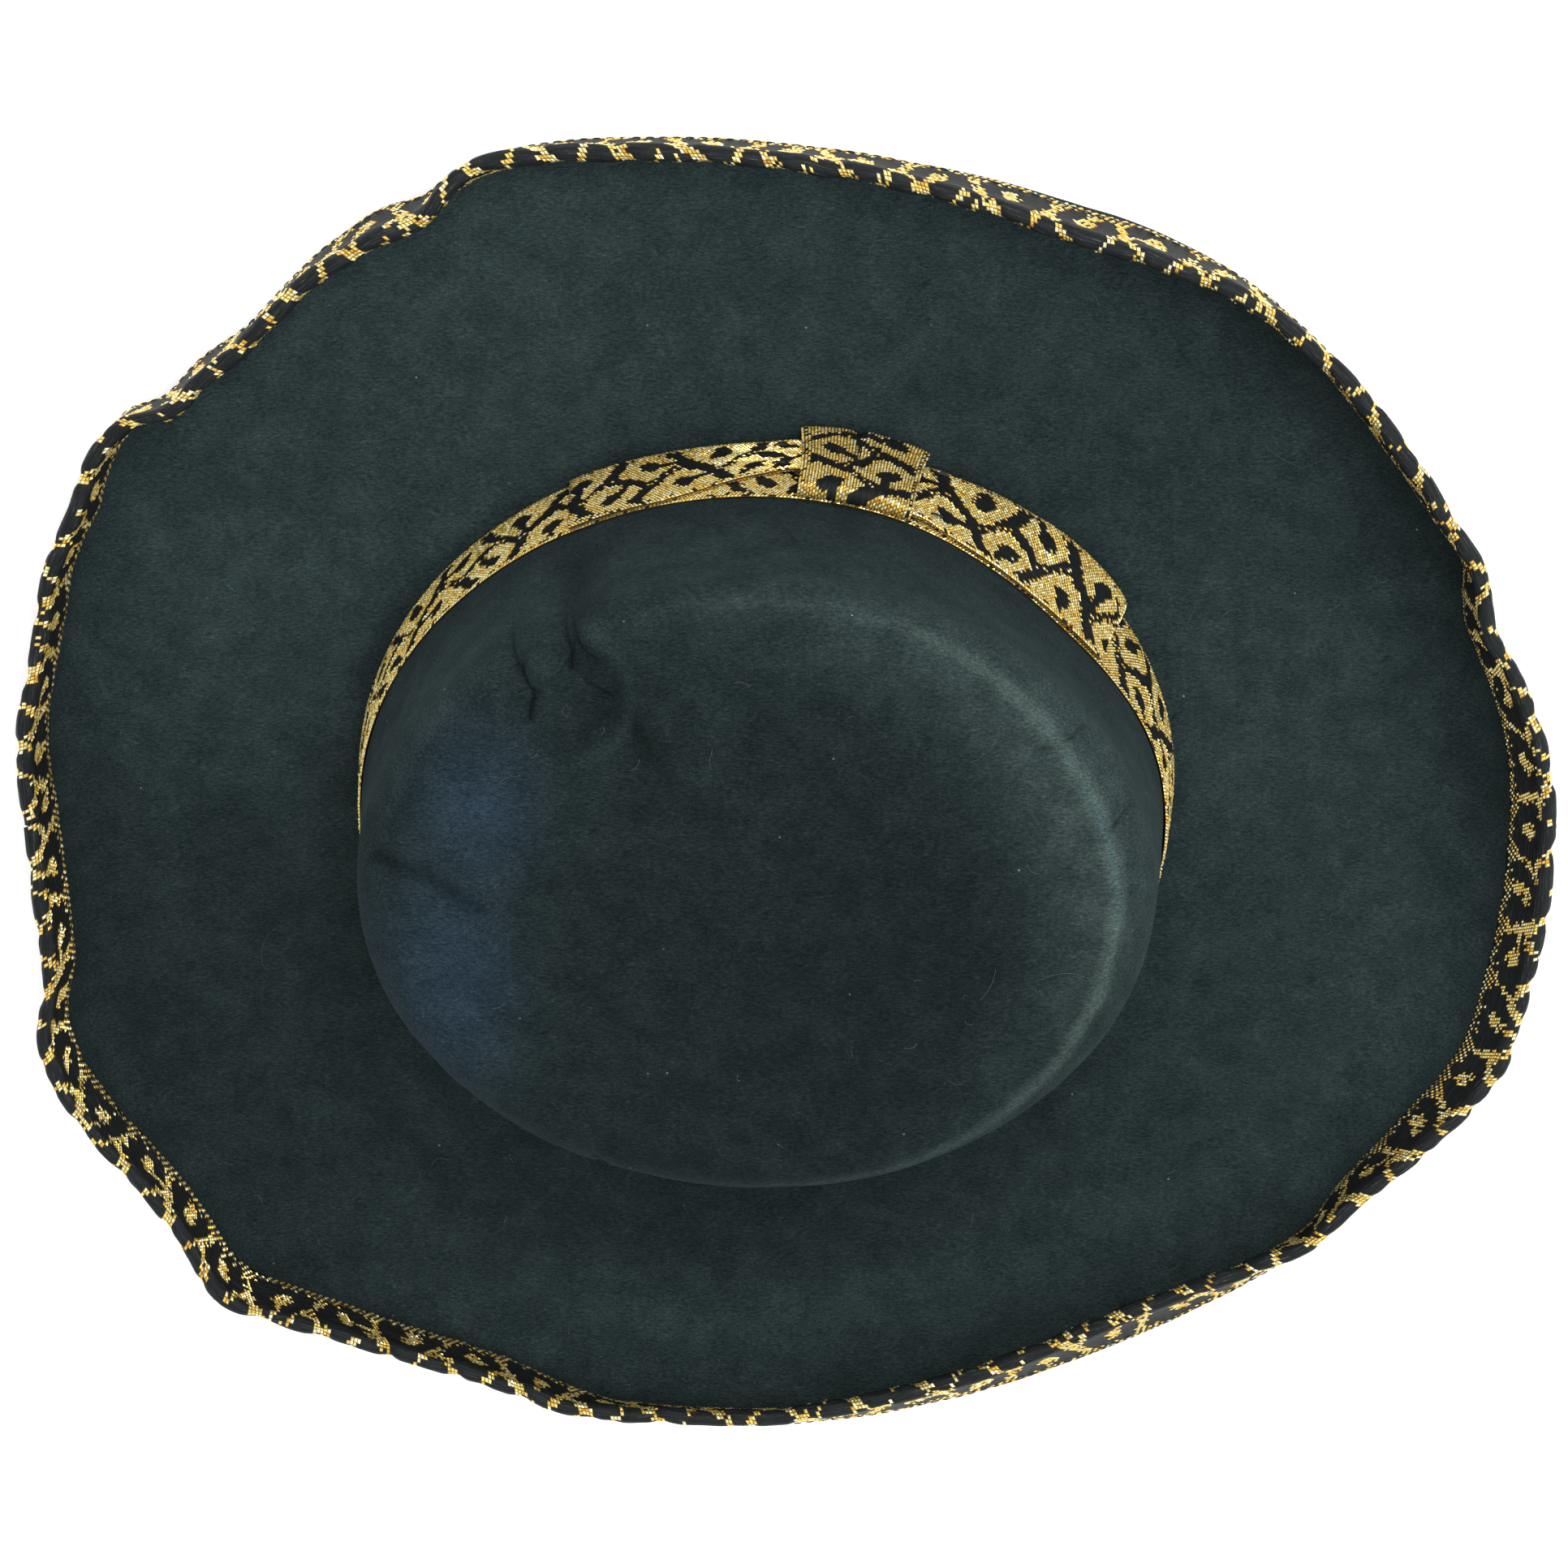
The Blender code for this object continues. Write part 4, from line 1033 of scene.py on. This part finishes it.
def felt_hairs(outer, crown_count):
    """Pale stray hairs lying in curls on the felt, as thin closed tubes."""
    random = np.random.default_rng(41)
    parts = []
    for number in range(CROWN_HAIRS + BRIM_HAIRS):
        rows = (4, 44) if number < CROWN_HAIRS else (crown_count + 3, crown_count + 14)
        spot = np.array((random.uniform(0, FELT_RAYS), random.uniform(*rows)))
        heading, curl = random.uniform(0, 2 * math.pi), random.uniform(-2.6, 2.6)
        step = random.uniform(0.0010, 0.0045) / HAIR_STEPS * (1.0 if number % LONG_HAIRS else 4.5)
        arch, tilt = random.uniform(0.00004, 0.00035), random.uniform(0.0, 0.0003)
        path = []
        for k in range(HAIR_STEPS + 1):
            i, j = int(spot[0]) % FELT_RAYS, int(spot[1])
            corners = outer[[i, (i + 1) % FELT_RAYS, i], [j, j, j + 1]]
            part = spot - np.floor(spot)
            here = corners[0] + part[0] * (corners[1] - corners[0]) + part[1] * (corners[2] - corners[0])
            lift = 0.00002 + arch * math.sin(math.pi * k / HAIR_STEPS) + tilt * k / HAIR_STEPS
            path.append(here + np.array((0.0, 0.0, lift)))
            sizes = np.linalg.norm(corners[1:] - corners[0], axis=1) + 1e-6
            spot = spot + step * np.array((math.cos(heading), math.sin(heading))) / sizes
            spot[1] = np.clip(spot[1], 1, outer.shape[1] - 3)
            heading += curl / HAIR_STEPS
        radius = random.uniform(0.000024, 0.000042)
        sections = tube_sections(np.array(path), radius, 3)
        parts.append((sections, sweep(sections, closed=False)))
    return join_parts(parts)


def make_felt():
    """Crown and brim from one piece of felt."""
    angles = felt_angles()
    middle, half, crown_count = felt_middle(angles)
    push = felt_marks(middle, angles, crown_count)
    middle_tone_and_light = felt_tone_and_painted_light(middle, angles, crown_count)
    middle = middle + grid_normals(middle) * push[..., None]
    offset = grid_normals(middle) * half[..., None]
    outer = middle + offset
    edge = middle[:, -1:] + 0.25 * (middle[:, -1:] - middle[:, -2:-1])
    keep = np.concatenate((np.arange(0, crown_count, 3), np.arange(crown_count, middle.shape[1] - 1, 2),
                           [middle.shape[1] - 1]))
    inner = (middle - offset)[:, keep][:, ::-1]
    inner[..., 2] = np.maximum(inner[..., 2], 0.0)
    grid = np.concatenate((outer, edge, inner), axis=1)
    # The inner face, inside the crown and under the brim, gets painted shade at 0.85 of the outer tone.
    tone_and_light = np.concatenate((middle_tone_and_light, middle_tone_and_light[:, -1:], middle_tone_and_light[:, keep][:, ::-1] * 0.85), axis=1)
    rows = grid.shape[1]
    top = np.array((0.0, 0.0, outer[:, 0, 2].mean()))
    ceiling = np.array((0.0, 0.0, inner[:, -1, 2].mean()))
    first = FELT_RAYS * rows
    hairs, hair_groups = felt_hairs(outer, crown_count)
    points = np.concatenate((grid.reshape(-1, 3), [top, ceiling], hairs))
    i = np.arange(FELT_RAYS)
    ahead = (i + 1) % FELT_RAYS
    crown_fan = np.stack((i * rows, ahead * rows, np.full_like(i, first)), -1)
    ceiling_fan = np.stack((ahead * rows + rows - 1, i * rows + rows - 1, np.full_like(i, first + 1)), -1)
    felt_faces = (grid_faces(FELT_RAYS, rows, closed=True), crown_fan, ceiling_fan)
    groups = [(faces, 0, True) for faces in felt_faces]
    groups += [(faces + first + 2, 1, shade) for faces, _, shade in hair_groups]
    colours = np.concatenate((tone_and_light.reshape(-1, 3), [tone_and_light[:, 0].mean(axis=0)] * 2, np.ones((len(hairs), 3))))
    colours = np.concatenate((colours, np.ones((len(colours), 1))), axis=1)
    attributes = [("tone_and_light", "FLOAT_COLOR", "POINT", "color", colours)]
    looks = [FELT_LOOK, FIBRE_LOOK]
    return make_piece("moulded_felt", points, groups, looks, ["felt_body"], attributes)


make_felt()


# ---- binding, wire and their stitches ----

def rays_at(table, distances):
    """Brim rays at distances along the edge."""
    return BrimRays(np.interp(distances, table[1], table[0]))


def binding_out(past):
    """How far the ribbon's middle stands off the felt's middle, past a quarter turn of the fold."""
    return FOLD_RADIUS + half_felt(past - FOLD_CENTRE) - FELT_EDGE / 2


def edge_path(angles):
    """The outermost line of the binding's fold."""
    rays = BrimRays(angles)
    return rays.points((rays.length + FOLD_CENTRE + FOLD_RADIUS)[:, None], np.zeros((len(angles), 1)))[:, 0]


EDGE = arc_table(edge_path, BINDING_JOIN + 0.1, BINDING_JOIN + 359.9)
EDGE_LENGTH = EDGE[2]
QUARTER = FOLD_RADIUS * math.pi / 2


def binding_line(s, t, lift):
    """One lengthwise line of the folded ribbon: t runs from the selvage on the upper face to the one under
    the brim."""
    rays = rays_at(EDGE, s)
    ring = ring_points(rays.angles)
    drift = 0.0007 * wander(ring, 0.030, 11) + 0.0004 * wander(ring, 0.009, 12)
    d = RIBBON_WIDTH / 2 - t + drift
    turn = np.clip(d / FOLD_RADIUS, -math.pi / 2, math.pi / 2)
    past = np.maximum(np.abs(d) - QUARTER, 0.0)
    hug = 0.00012 * smooth(past, 0.001, 0.009)
    loose = 0.00022 * wander(np.stack((s, t, 0.0 * t), -1), 0.006, 13)
    out = binding_out(past) - hug + lift + loose
    along = rays.length + FOLD_CENTRE - past + out * np.cos(turn)
    return rays.points(along[:, None], (out * np.sin(turn))[:, None])[:, 0]


def lay_binding(s, t, lift):
    """Ribbon folded over the brim's edge."""
    lines = [binding_line(s[:, k], t[:, k], lift[:, k]) for k in range(s.shape[1])]
    return np.stack(lines, axis=1)


binding = weave_ribbon("brim_binding_ribbon", lay_binding, EDGE_LENGTH, "reverse", ["brim_binding"],
                       start=0.004, puff=0.0002, fold=0.0009)


def tube_groups(outer, inner):
    """Points and faces of a tube with a bore: outer and inner rings, joined at both ends."""
    rows, sides = outer.shape[:2]
    count = rows * sides
    caps = []
    for row, step in ((0, -1), (rows - 1, 1)):
        for k in range(sides):
            here, there = row * sides + k, row * sides + (k + 1) % sides
            caps.append(np.array((here, there, count + there, count + here))[::step])
    bores = sweep(inner, closed=False)[0][:, ::-1] + count
    groups = [(sweep(outer, closed=False)[0], 0, True), (bores, 0, True), (np.array(caps), 0, False)]
    return np.concatenate((outer.reshape(-1, 3), inner.reshape(-1, 3))), groups


def edge_tube(name, look, replaces, angles, radius, bore=None):
    """A wire or a sleeve in the fold of the binding."""
    rays = BrimRays(angles)
    a = 2 * math.pi * np.arange(10) / 10

    def ring(size):
        along = rays.length[:, None] + WIRE_CENTRE + size * np.cos(a)[None, :]
        return rays.points(along, size * np.sin(a)[None, :] + 0.0 * along)

    if bore is None:
        points, groups = join_parts([(ring(radius), sweep(ring(radius), closed=False))])
    else:
        points, groups = tube_groups(ring(radius), ring(bore))
    return make_piece(name, points, groups, [look], replaces)


edge_tube("brim_edge_wire", WIRE_LOOK, ["brim_wire"],
          np.linspace(WIRE_JOIN + 0.15, WIRE_JOIN + 359.85, 720), WIRE_RADIUS)
edge_tube("edge_wire_sleeve", BRASS_LOOK, ["wire_joiner"],
          np.linspace(WIRE_JOIN - 1.5, WIRE_JOIN + 1.5, 24), SLEEVE_RADIUS, SLEEVE_BORE)


def stitch(start, end, out, radius=STITCH_RADIUS, lift=STITCH_LIFT):
    """One stitch that comes out of the cloth, lies on it and goes back in."""
    steps = np.linspace(0.0, 1.0, 7)
    arch = np.sin(math.pi * steps)**0.5
    path = start + (end - start) * steps[:, None] + out * ((arch - 0.55) * lift)[:, None]
    sections = tube_sections(path, radius * (0.75 + 0.25 * arch), 6)
    return sections, sweep(sections, closed=False)


def seam(name, replaces, line, length, pitch):
    """A row of stitches along a line: line(s, lift) gives points at distances along the seam."""
    count = int(round(length / pitch))
    starts = np.arange(count) * length / count
    ends = starts + STITCH_SHARE * length / count
    middles = 0.5 * (starts + ends)
    out = line(middles, 0.001) - line(middles, 0.0)
    out /= np.linalg.norm(out, axis=1)[:, None]
    stitches = [stitch(*one) for one in zip(line(starts, 0.0), line(ends, 0.0), out)]
    points, groups = join_parts(stitches)
    return make_piece(name, points, groups, [THREAD_LOOK], replaces)


def binding_seam(face):
    """The line of the binding's stitches on the upper face (1) or under the brim (-1)."""
    def line(s, lift):
        rays = rays_at(EDGE, s)
        along = (rays.length - BINDING_SEAM)[:, None]
        out = binding_out(BINDING_SEAM + FOLD_CENTRE) + RIBBON + STITCH_CLEAR + lift
        return rays.points(along, np.full_like(along, face * out))[:, 0]
    return line


seam("binding_stitches_upper", ["binding_needle_thread"], binding_seam(1), EDGE_LENGTH, BINDING_PITCH)
seam("binding_stitches_under", ["binding_bobbin_thread"], binding_seam(-1), EDGE_LENGTH, BINDING_PITCH)


# ---- hat band and bow ----

BAND_OFFSET = FELT / 2 + GAP + RIBBON / 2


def wall_table(start, end, up, offset):
    """Distance along a line on the crown's wall."""
    return arc_table(lambda a: wall_points(a, up, offset), start, end)


BAND = wall_table(BAND_JOIN + 0.1, BAND_JOIN + 359.9, BAND_BOTTOM + RIBBON_WIDTH / 2, BAND_OFFSET)
BAND_LENGTH = BAND[2]


def lay_band(s, t, lift):
    """The band, flat on the wall, with a slightly uneven upper edge."""
    angles = np.interp(s, BAND[1], BAND[0])
    rise = 0.0005 * wander(ring_points(angles, 0.1), 0.020, 21) * t / RIBBON_WIDTH
    ease = 0.00012 * (1 + wander(np.stack((s, t, 0 * t), -1), 0.012, 22))
    return wall_points(angles, BAND_BOTTOM + t + rise, BAND_OFFSET + lift + ease)


band = weave_ribbon("hat_band_ribbon", lay_band, BAND_LENGTH, "face", ["hat_band"], start=0.002, puff=0.00025)

TOUCH = 0.0001
KNOT_BACK = BAND_OFFSET + RIBBON + 2 * BEAD + TOUCH
BOW_BACK = KNOT_BACK + RIBBON + BEAD + TOUCH
BOW_SETTLE = BOW_BACK - KNOT_BACK
BOW_FRONT = BOW_BACK + RIBBON + TOUCH
ARC_RADIUS = 0.095
BOW_POINTS = 160
FOLD_POINTS = 21

# The bow's two layers meet along the upper edge and part towards the lower edge. For each loop: how far
# they part in the middle and at the folded end, how much of the ribbon's width the knot leaves, and how
# far along the loop the gathers reach.
LOOPS = (
    {"belly": 0.0020, "end": 0.0018, "width": 0.93, "gathers": 0.30},
    {"belly": 0.0000, "end": 0.0004, "width": 0.55, "gathers": 0.62},
)


def past_knot(angles):
    """For each loop: which points are in it, and how far along: 0 at the knot's edge, 1 at the folded end."""
    middle = 0.5 * (KNOT_ENDS[0] + KNOT_ENDS[1])
    for which, loop in enumerate(LOOPS):
        share = np.clip((angles - KNOT_ENDS[which]) / (BOW_ENDS[which] - KNOT_ENDS[which]), 0.0, 1.0)
        yield loop, (angles < middle) if which == 0 else (angles >= middle), share


def bow_point(angles, turn, side, t, lift):
    """A point of the bow's ring: turn runs from -90 degrees in the back layer to 90 in the front one, and
    side is the direction of the nearest folded end."""
    depth, width, gather, settle = (np.zeros_like(angles) for _ in range(4))
    for loop, here, share in past_knot(angles):
        swell = loop["belly"] * np.sin(math.pi * share)**0.7 + loop["end"] * smooth(share, 0.3, 1.0)
        tight = 1 - smooth(share, 0.0, loop["gathers"])
        depth = np.where(here, swell, depth)
        width = np.where(here, 1 - (1 - loop["width"]) * tight, width)
        gather = np.where(here, tight * (1 - loop["width"]), gather)
        settle = np.where(here, BOW_SETTLE * smooth(share, 0.0, 0.16), settle)
    across = t / RIBBON_WIDTH
    front = 0.5 + 0.5 * np.sin(turn)
    pleats = np.sin(2 * math.pi * 3.0 * across) * smooth(across * (1 - across), 0.0, 0.1)
    depth = RIBBON + TOUCH + depth * (1 - across)**0.8 + 0.0010 * gather * (1 + pleats) * (1 - across**6)
    offset = BOW_BACK - settle + depth * front + lift * np.sin(turn)
    out = side * (0.5 * depth + lift) * np.cos(turn)
    ease = 0.00010 * wander(np.stack((angles * 0.0016, t, front * 0.01), -1), 0.008, 23) * front
    return wall_points(angles + np.degrees(out / ARC_RADIUS), BOW_BOTTOM + width * t, offset + ease)


def bow_ring():
    """The ring's middle line: angle and turn of points along it, and the distance along."""
    start, end = BOW_ENDS
    there = np.linspace(start, end, BOW_POINTS)
    fold = np.radians(np.linspace(-90, 90, FOLD_POINTS))
    flat, bend = np.ones(BOW_POINTS), np.ones(FOLD_POINTS)
    angles = np.concatenate((there, end * bend, there[::-1], start * bend, [start]))
    turn = np.concatenate((fold[0] * flat, fold, fold[-1] * flat, fold[::-1], fold[:1]))
    side = np.concatenate((flat, bend, -flat, -bend, [-1.0]))
    points = bow_point(angles, turn, side, np.full(len(angles), RIBBON_WIDTH / 2), 0.0)
    return angles, turn, path_lengths(points)


BOW_ANGLES, BOW_TURN, BOW_DISTANCE = bow_ring()
BOW_LENGTH = float(BOW_DISTANCE[-1])


def lay_bow(s, t, lift):
    """The bow: one ribbon joined into a ring and pressed flat."""
    s = s % BOW_LENGTH
    angles = np.interp(s, BOW_DISTANCE, BOW_ANGLES)
    turn = np.interp(s, BOW_DISTANCE, BOW_TURN)
    side = np.where(angles > 0.5 * (BOW_ENDS[0] + BOW_ENDS[1]), 1.0, -1.0)
    return bow_point(angles, turn, side, t, lift)


bow = weave_ribbon("bow_loops_ribbon", lay_bow, BOW_LENGTH, "face", ["bow_loops"], closed=True, start=0.006,
                   puff=0.00015)

# The knot's ribbon goes round a rounded oblong of heights up the wall and offsets from it.
KNOT_LOW = BOW_BOTTOM - GAP - RIBBON / 2
KNOT_HIGH = BOW_BOTTOM + RIBBON_WIDTH + GAP + RIBBON / 2
KNOT_FRONT = BOW_FRONT + 0.0017
KNOT_CORNER = 0.0010
KNOT_LEAN = 0.0024


def knot_ring():
    """The knot's ring of ribbon: up the front, over, down the back and under, and the distance along."""
    high, low = KNOT_HIGH - KNOT_CORNER, KNOT_LOW + KNOT_CORNER
    front, back = KNOT_FRONT - KNOT_CORNER, KNOT_BACK + KNOT_CORNER
    spots = [(up, KNOT_FRONT) for up in np.linspace(low, high, 40)]
    for quarter, (up, offset) in enumerate(((high, front), (high, back), (low, back), (low, front))):
        for turn in np.radians(90.0 * quarter + np.linspace(0, 90, 7)):
            spots.append((up + KNOT_CORNER * math.sin(turn), offset + KNOT_CORNER * math.cos(turn)))
    spots = np.array(spots + spots[:1])
    return spots[:, 0], spots[:, 1], path_lengths(spots)


KNOT_UP, KNOT_OFFSET, KNOT_DISTANCE = knot_ring()
KNOT_LENGTH = float(KNOT_DISTANCE[-1])


def lay_knot(s, t, lift):
    """The knot: its ribbon runs up and over the bow, and its width lies along the band."""
    def spot(distance):
        distance = distance % KNOT_LENGTH
        return np.array([np.interp(distance, KNOT_DISTANCE, values) for values in (KNOT_UP, KNOT_OFFSET)])

    up, offset = spot(s)
    ahead = spot(s + 0.0005) - spot(s - 0.0005)
    rise, run = ahead / (np.hypot(*ahead) + 1e-12)
    across = t / RIBBON_WIDTH
    top = np.clip((up - KNOT_LOW) / (KNOT_HIGH - KNOT_LOW), 0.0, 1.0)
    front = smooth(offset, KNOT_BACK, KNOT_FRONT)
    squeeze = 0.04 * np.sin(math.pi * top) + 0.08 * top
    middle = 0.5 * (KNOT_ENDS[0] + KNOT_ENDS[1]) + 0.4 * top
    angles = middle + (across - 0.5) * (KNOT_ENDS[1] - KNOT_ENDS[0]) * (1 - squeeze)
    swell = 0.0009 * np.sin(math.pi * across)**0.6 + KNOT_LEAN * (1 - top)
    swell -= 0.0010 * bump(across, 0.45 + 0.12 * (1 - top), 0.035) * (1 - smooth(top, 0.45, 0.95))
    swell += 0.00025 * wander(np.stack((up, t, 0 * t), -1), 0.007, 24)
    return wall_points(angles, up - lift * run, offset + lift * rise + swell * front)


knot = weave_ribbon("bow_knot_ribbon", lay_knot, KNOT_LENGTH, "face", ["bow_knot"], closed=True, start=0.016,
                    puff=0.00020)


# ---- sweatband, its tape and its stitches ----

SWEAT_OUTER = -(FELT / 2 + GAP)
SWEAT_INNER = SWEAT_OUTER - SWEATBAND
SWEAT = wall_table(SWEAT_JOIN + 0.15, SWEAT_JOIN + 359.85, SWEATBAND_WIDTH / 2, SWEAT_OUTER)
SWEAT_LENGTH = SWEAT[2]
TAPE_WIDTH = 0.0108
TAPE_LENGTH = SWEATBAND_WIDTH - TAPE_BOTTOM
STRIP_EDGE = 0.0009


def plain_strip(name, lay, length, width, columns, count, replaces):
    """A thin closed strip of ribbed ribbon with rounded long edges."""
    s = np.linspace(0.0, length, count + 1)[:, None]
    t = np.linspace(0.0, width, columns + 1)[None, :]
    thick = 0.45 + 0.55 * smooth(np.minimum(t, width - t), 0.0, STRIP_EDGE)

    def there_and_back(front, back):
        return np.concatenate((front, back[:, ::-1]), axis=1)

    grid = there_and_back(lay(s, t, 0.5 * thick), lay(s, t, -0.5 * thick))
    rows = grid.shape[1]
    i = np.arange(count)
    close = np.stack((i * rows + rows - 1, i * rows, (i + 1) * rows, (i + 1) * rows + rows - 1), -1)
    caps = []
    for line, step in ((0, 1), (count, -1)):
        for k in range(columns):
            cap = line * rows + np.array((k, rows - 1 - k, rows - 2 - k, k + 1))
            caps.append(cap[::step])
    groups = [(grid_faces(count + 1, rows), 0, True), (close, 0, True), (np.array(caps), 0, False)]
    weave = np.zeros((count + 1, rows, 3))
    for axis, values in enumerate(np.broadcast_arrays(s, t)):
        weave[..., axis] = there_and_back(values, values)
    attributes = [("weave", "FLOAT_VECTOR", "POINT", "vector", weave)]
    points = grid.reshape(-1, 3)
    return make_piece(name, points, groups, [GROSGRAIN_LOOK], replaces, attributes)


def lay_sweatband(s, t, side):
    """The sweatband inside the wall: its free upper edge waves a little away from the felt."""
    angles = np.interp(s, SWEAT[1], SWEAT[0])
    ring = ring_points(angles[..., 0], 0.1)
    wave = 0.0006 * (1 + wander(ring, 0.035, 31))[:, None] * smooth(t, 0.010, SWEATBAND_WIDTH)
    offset = SWEAT_OUTER - SWEATBAND / 2 - side * SWEATBAND - wave
    return wall_points(angles, t, offset)


sweatband = plain_strip("sweatband_ribbon", lay_sweatband, SWEAT_LENGTH, SWEATBAND_WIDTH, 16, 720,
                        ["sweatband"])


def lay_tape(s, t, side):
    """The tape over the sweatband's join: s runs up the wall."""
    angles = SWEAT_JOIN + (t / TAPE_WIDTH - 0.5) * 2 * TAPE_HALF_ANGLE
    wave = 0.0013 * smooth(s, 0.008, TAPE_LENGTH)
    offset = SWEAT_INNER - GAP - TAPE / 2 - side * TAPE - wave + 0 * t
    return wall_points(angles + 0 * s, TAPE_BOTTOM + s + 0 * t, offset)


tape = plain_strip("sweatband_join_tape", lay_tape, TAPE_LENGTH, TAPE_WIDTH, 12, 40, ["sweatband_tape"])


def sweatband_line(s, lift):
    """The line of the sweatband's stitches."""
    angles = np.interp(s, SWEAT[1], SWEAT[0])
    return wall_points(angles, SWEATBAND_SEAM, SWEAT_INNER - STITCH_CLEAR - lift)


seam("sweatband_stitches", ["sweatband_thread"], sweatband_line, SWEAT_LENGTH, SWEATBAND_PITCH)


# ---- tacks ----

TACK_HALF_ANGLE = 0.85
TACK_SPREAD = 0.00035
TACK_SLANT = 0.0002
TACK_RADIUS = 0.00020
TACK_LIFT = 0.0004
BAND_TACK_DROP = 0.0025
BESIDE_KNOT = 2.5
LOW_TACK = 0.12
HIGH_TACK = 0.90


def make_tack(name, node, angle, up, offset):
    """Two short stitches side by side that catch the ribbon."""
    out = wall_points(angle, up, offset + 0.001) - wall_points(angle, up, offset)
    out /= np.linalg.norm(out)
    parts = []
    for side in (-1, 1):
        ends = [wall_points(angle + end * TACK_HALF_ANGLE, up + side * TACK_SPREAD + end * TACK_SLANT, offset)
                for end in (-1, 1)]
        parts.append(stitch(*ends, out, TACK_RADIUS, TACK_LIFT))
    points, groups = join_parts(parts)
    return make_piece(name, points, groups, [THREAD_LOOK], [node])


for number, angle in enumerate(BAND_TACKS):
    make_tack(f"band_tack_stitch_{number + 1}", f"band_tack_{number + 1}", angle,
              BAND_BOTTOM + RIBBON_WIDTH - BAND_TACK_DROP, BAND_OFFSET + RIBBON / 2 + 0.0004)

# One tack low down and one high up beside each edge of the knot.
for number in range(4):
    which, high_one = divmod(number, 2)
    beside = KNOT_ENDS[which] + (-BESIDE_KNOT, BESIDE_KNOT)[which]
    share = HIGH_TACK * LOOPS[which]["width"] if high_one else LOW_TACK
    parted = 0.0009 * (1 - share) * (1 - which)
    make_tack(f"bow_tack_stitch_{number + 1}", f"bow_tack_{number + 1}", beside,
              BOW_BOTTOM + RIBBON_WIDTH * share, BOW_FRONT + RIBBON / 2 + BEAD + parted + GAP)


# ---- camera, light and floor ----

TILT_SIDE = math.tan(math.radians(1.5))
TILT_BACK = math.tan(math.radians(19.5))
CAMERA_DISTANCE = 1.15
CAMERA_AIM = (0.00435, -0.00417, 0.0)
SENSOR = 36.0
LENS = 103.5
LIGHT_AIM = (0.0, 0.0, 0.03)
FLOOR_HALF = 6.0
FLOOR_DROP = 0.0002
SURROUND = (0.97, 0.985, 1.0, 1.0)
SURROUND_STRENGTH = 0.9

# Square area lights: name, place, size, power, colour.
LIGHTS = (
    ("key", (0.30, 0.45, 1.28), 0.8, 10.0, (1.0, 0.99, 0.97)),
    ("sparkle", (0.20, 0.70, 1.05), 0.10, 1.5, (1.0, 0.98, 0.94)),
    ("side", (1.0, -0.20, 0.8), 0.5, 4.0, (1.0, 1.0, 1.0)),
)


def turn_to(thing, location, rotation):
    """Put a camera or a light in its place."""
    thing.location = location
    thing.rotation_mode = "QUATERNION"
    thing.rotation_quaternion = rotation


def make_camera():
    """A camera above the hat, tilted so that the crown's bow side shows."""
    aim = Vector(CENTRE) + Vector(CAMERA_AIM)
    forward = Vector((-TILT_SIDE, -TILT_BACK, -1.0)).normalized()
    right = forward.cross(Vector((0.0, 1.0, 0.0))).normalized()
    data = bpy.data.cameras.new("camera")
    data.sensor_width = SENSOR
    data.lens = LENS
    camera = add_object("camera", data)
    axes = Matrix((right, right.cross(forward), -forward)).transposed()
    turn_to(camera, aim - forward * CAMERA_DISTANCE, axes.to_quaternion())
    bpy.context.scene.camera = camera


def make_light(name, location, size, power, colour):
    """A square area light that points at the hat."""
    data = bpy.data.lights.new(name, "AREA")
    data.size = size
    data.energy = power
    data.color = colour
    towards = Vector(LIGHT_AIM) - Vector(location)
    turn_to(add_object(name, data), location, towards.to_track_quat("-Z", "Y"))


def floor_material():
    """Pale paper, faintly mottled and lit a little from within."""
    s = Surface("floor", Roughness=0.9, Specular_IOR_Level=0.1, Emission_Color=(1.0, 1.0, 1.0, 1.0),
                Emission_Strength=0.35)
    return s.finish(s.ramp(s.noise(s.place(), 3.0), [(0.3, (0.90, 0.91, 0.92)), (0.7, (0.93, 0.93, 0.94))]))


def make_floor():
    """A wide pale floor under the hat."""
    mesh = bpy.data.meshes.new("floor")
    corners = [(x * FLOOR_HALF, y * FLOOR_HALF, 0) for x, y in ((-1, -1), (1, -1), (1, 1), (-1, 1))]
    mesh.from_pydata(corners, [], [(0, 1, 2, 3)])
    mesh.materials.append(floor_material())
    floor = add_object("floor", mesh)
    floor.location.z = -FLOOR_DROP


def make_world():
    """An even white surround."""
    world = bpy.data.worlds.new("surround")
    world.use_nodes = True
    background = world.node_tree.nodes["Background"]
    background.inputs["Color"].default_value = SURROUND
    background.inputs["Strength"].default_value = SURROUND_STRENGTH
    bpy.context.scene.world = world


make_camera()
make_floor()
make_world()
for light in LIGHTS:
    make_light(*light)
bpy.context.scene.view_settings.view_transform = "Standard"
bpy.context.scene.view_settings.look = "None"
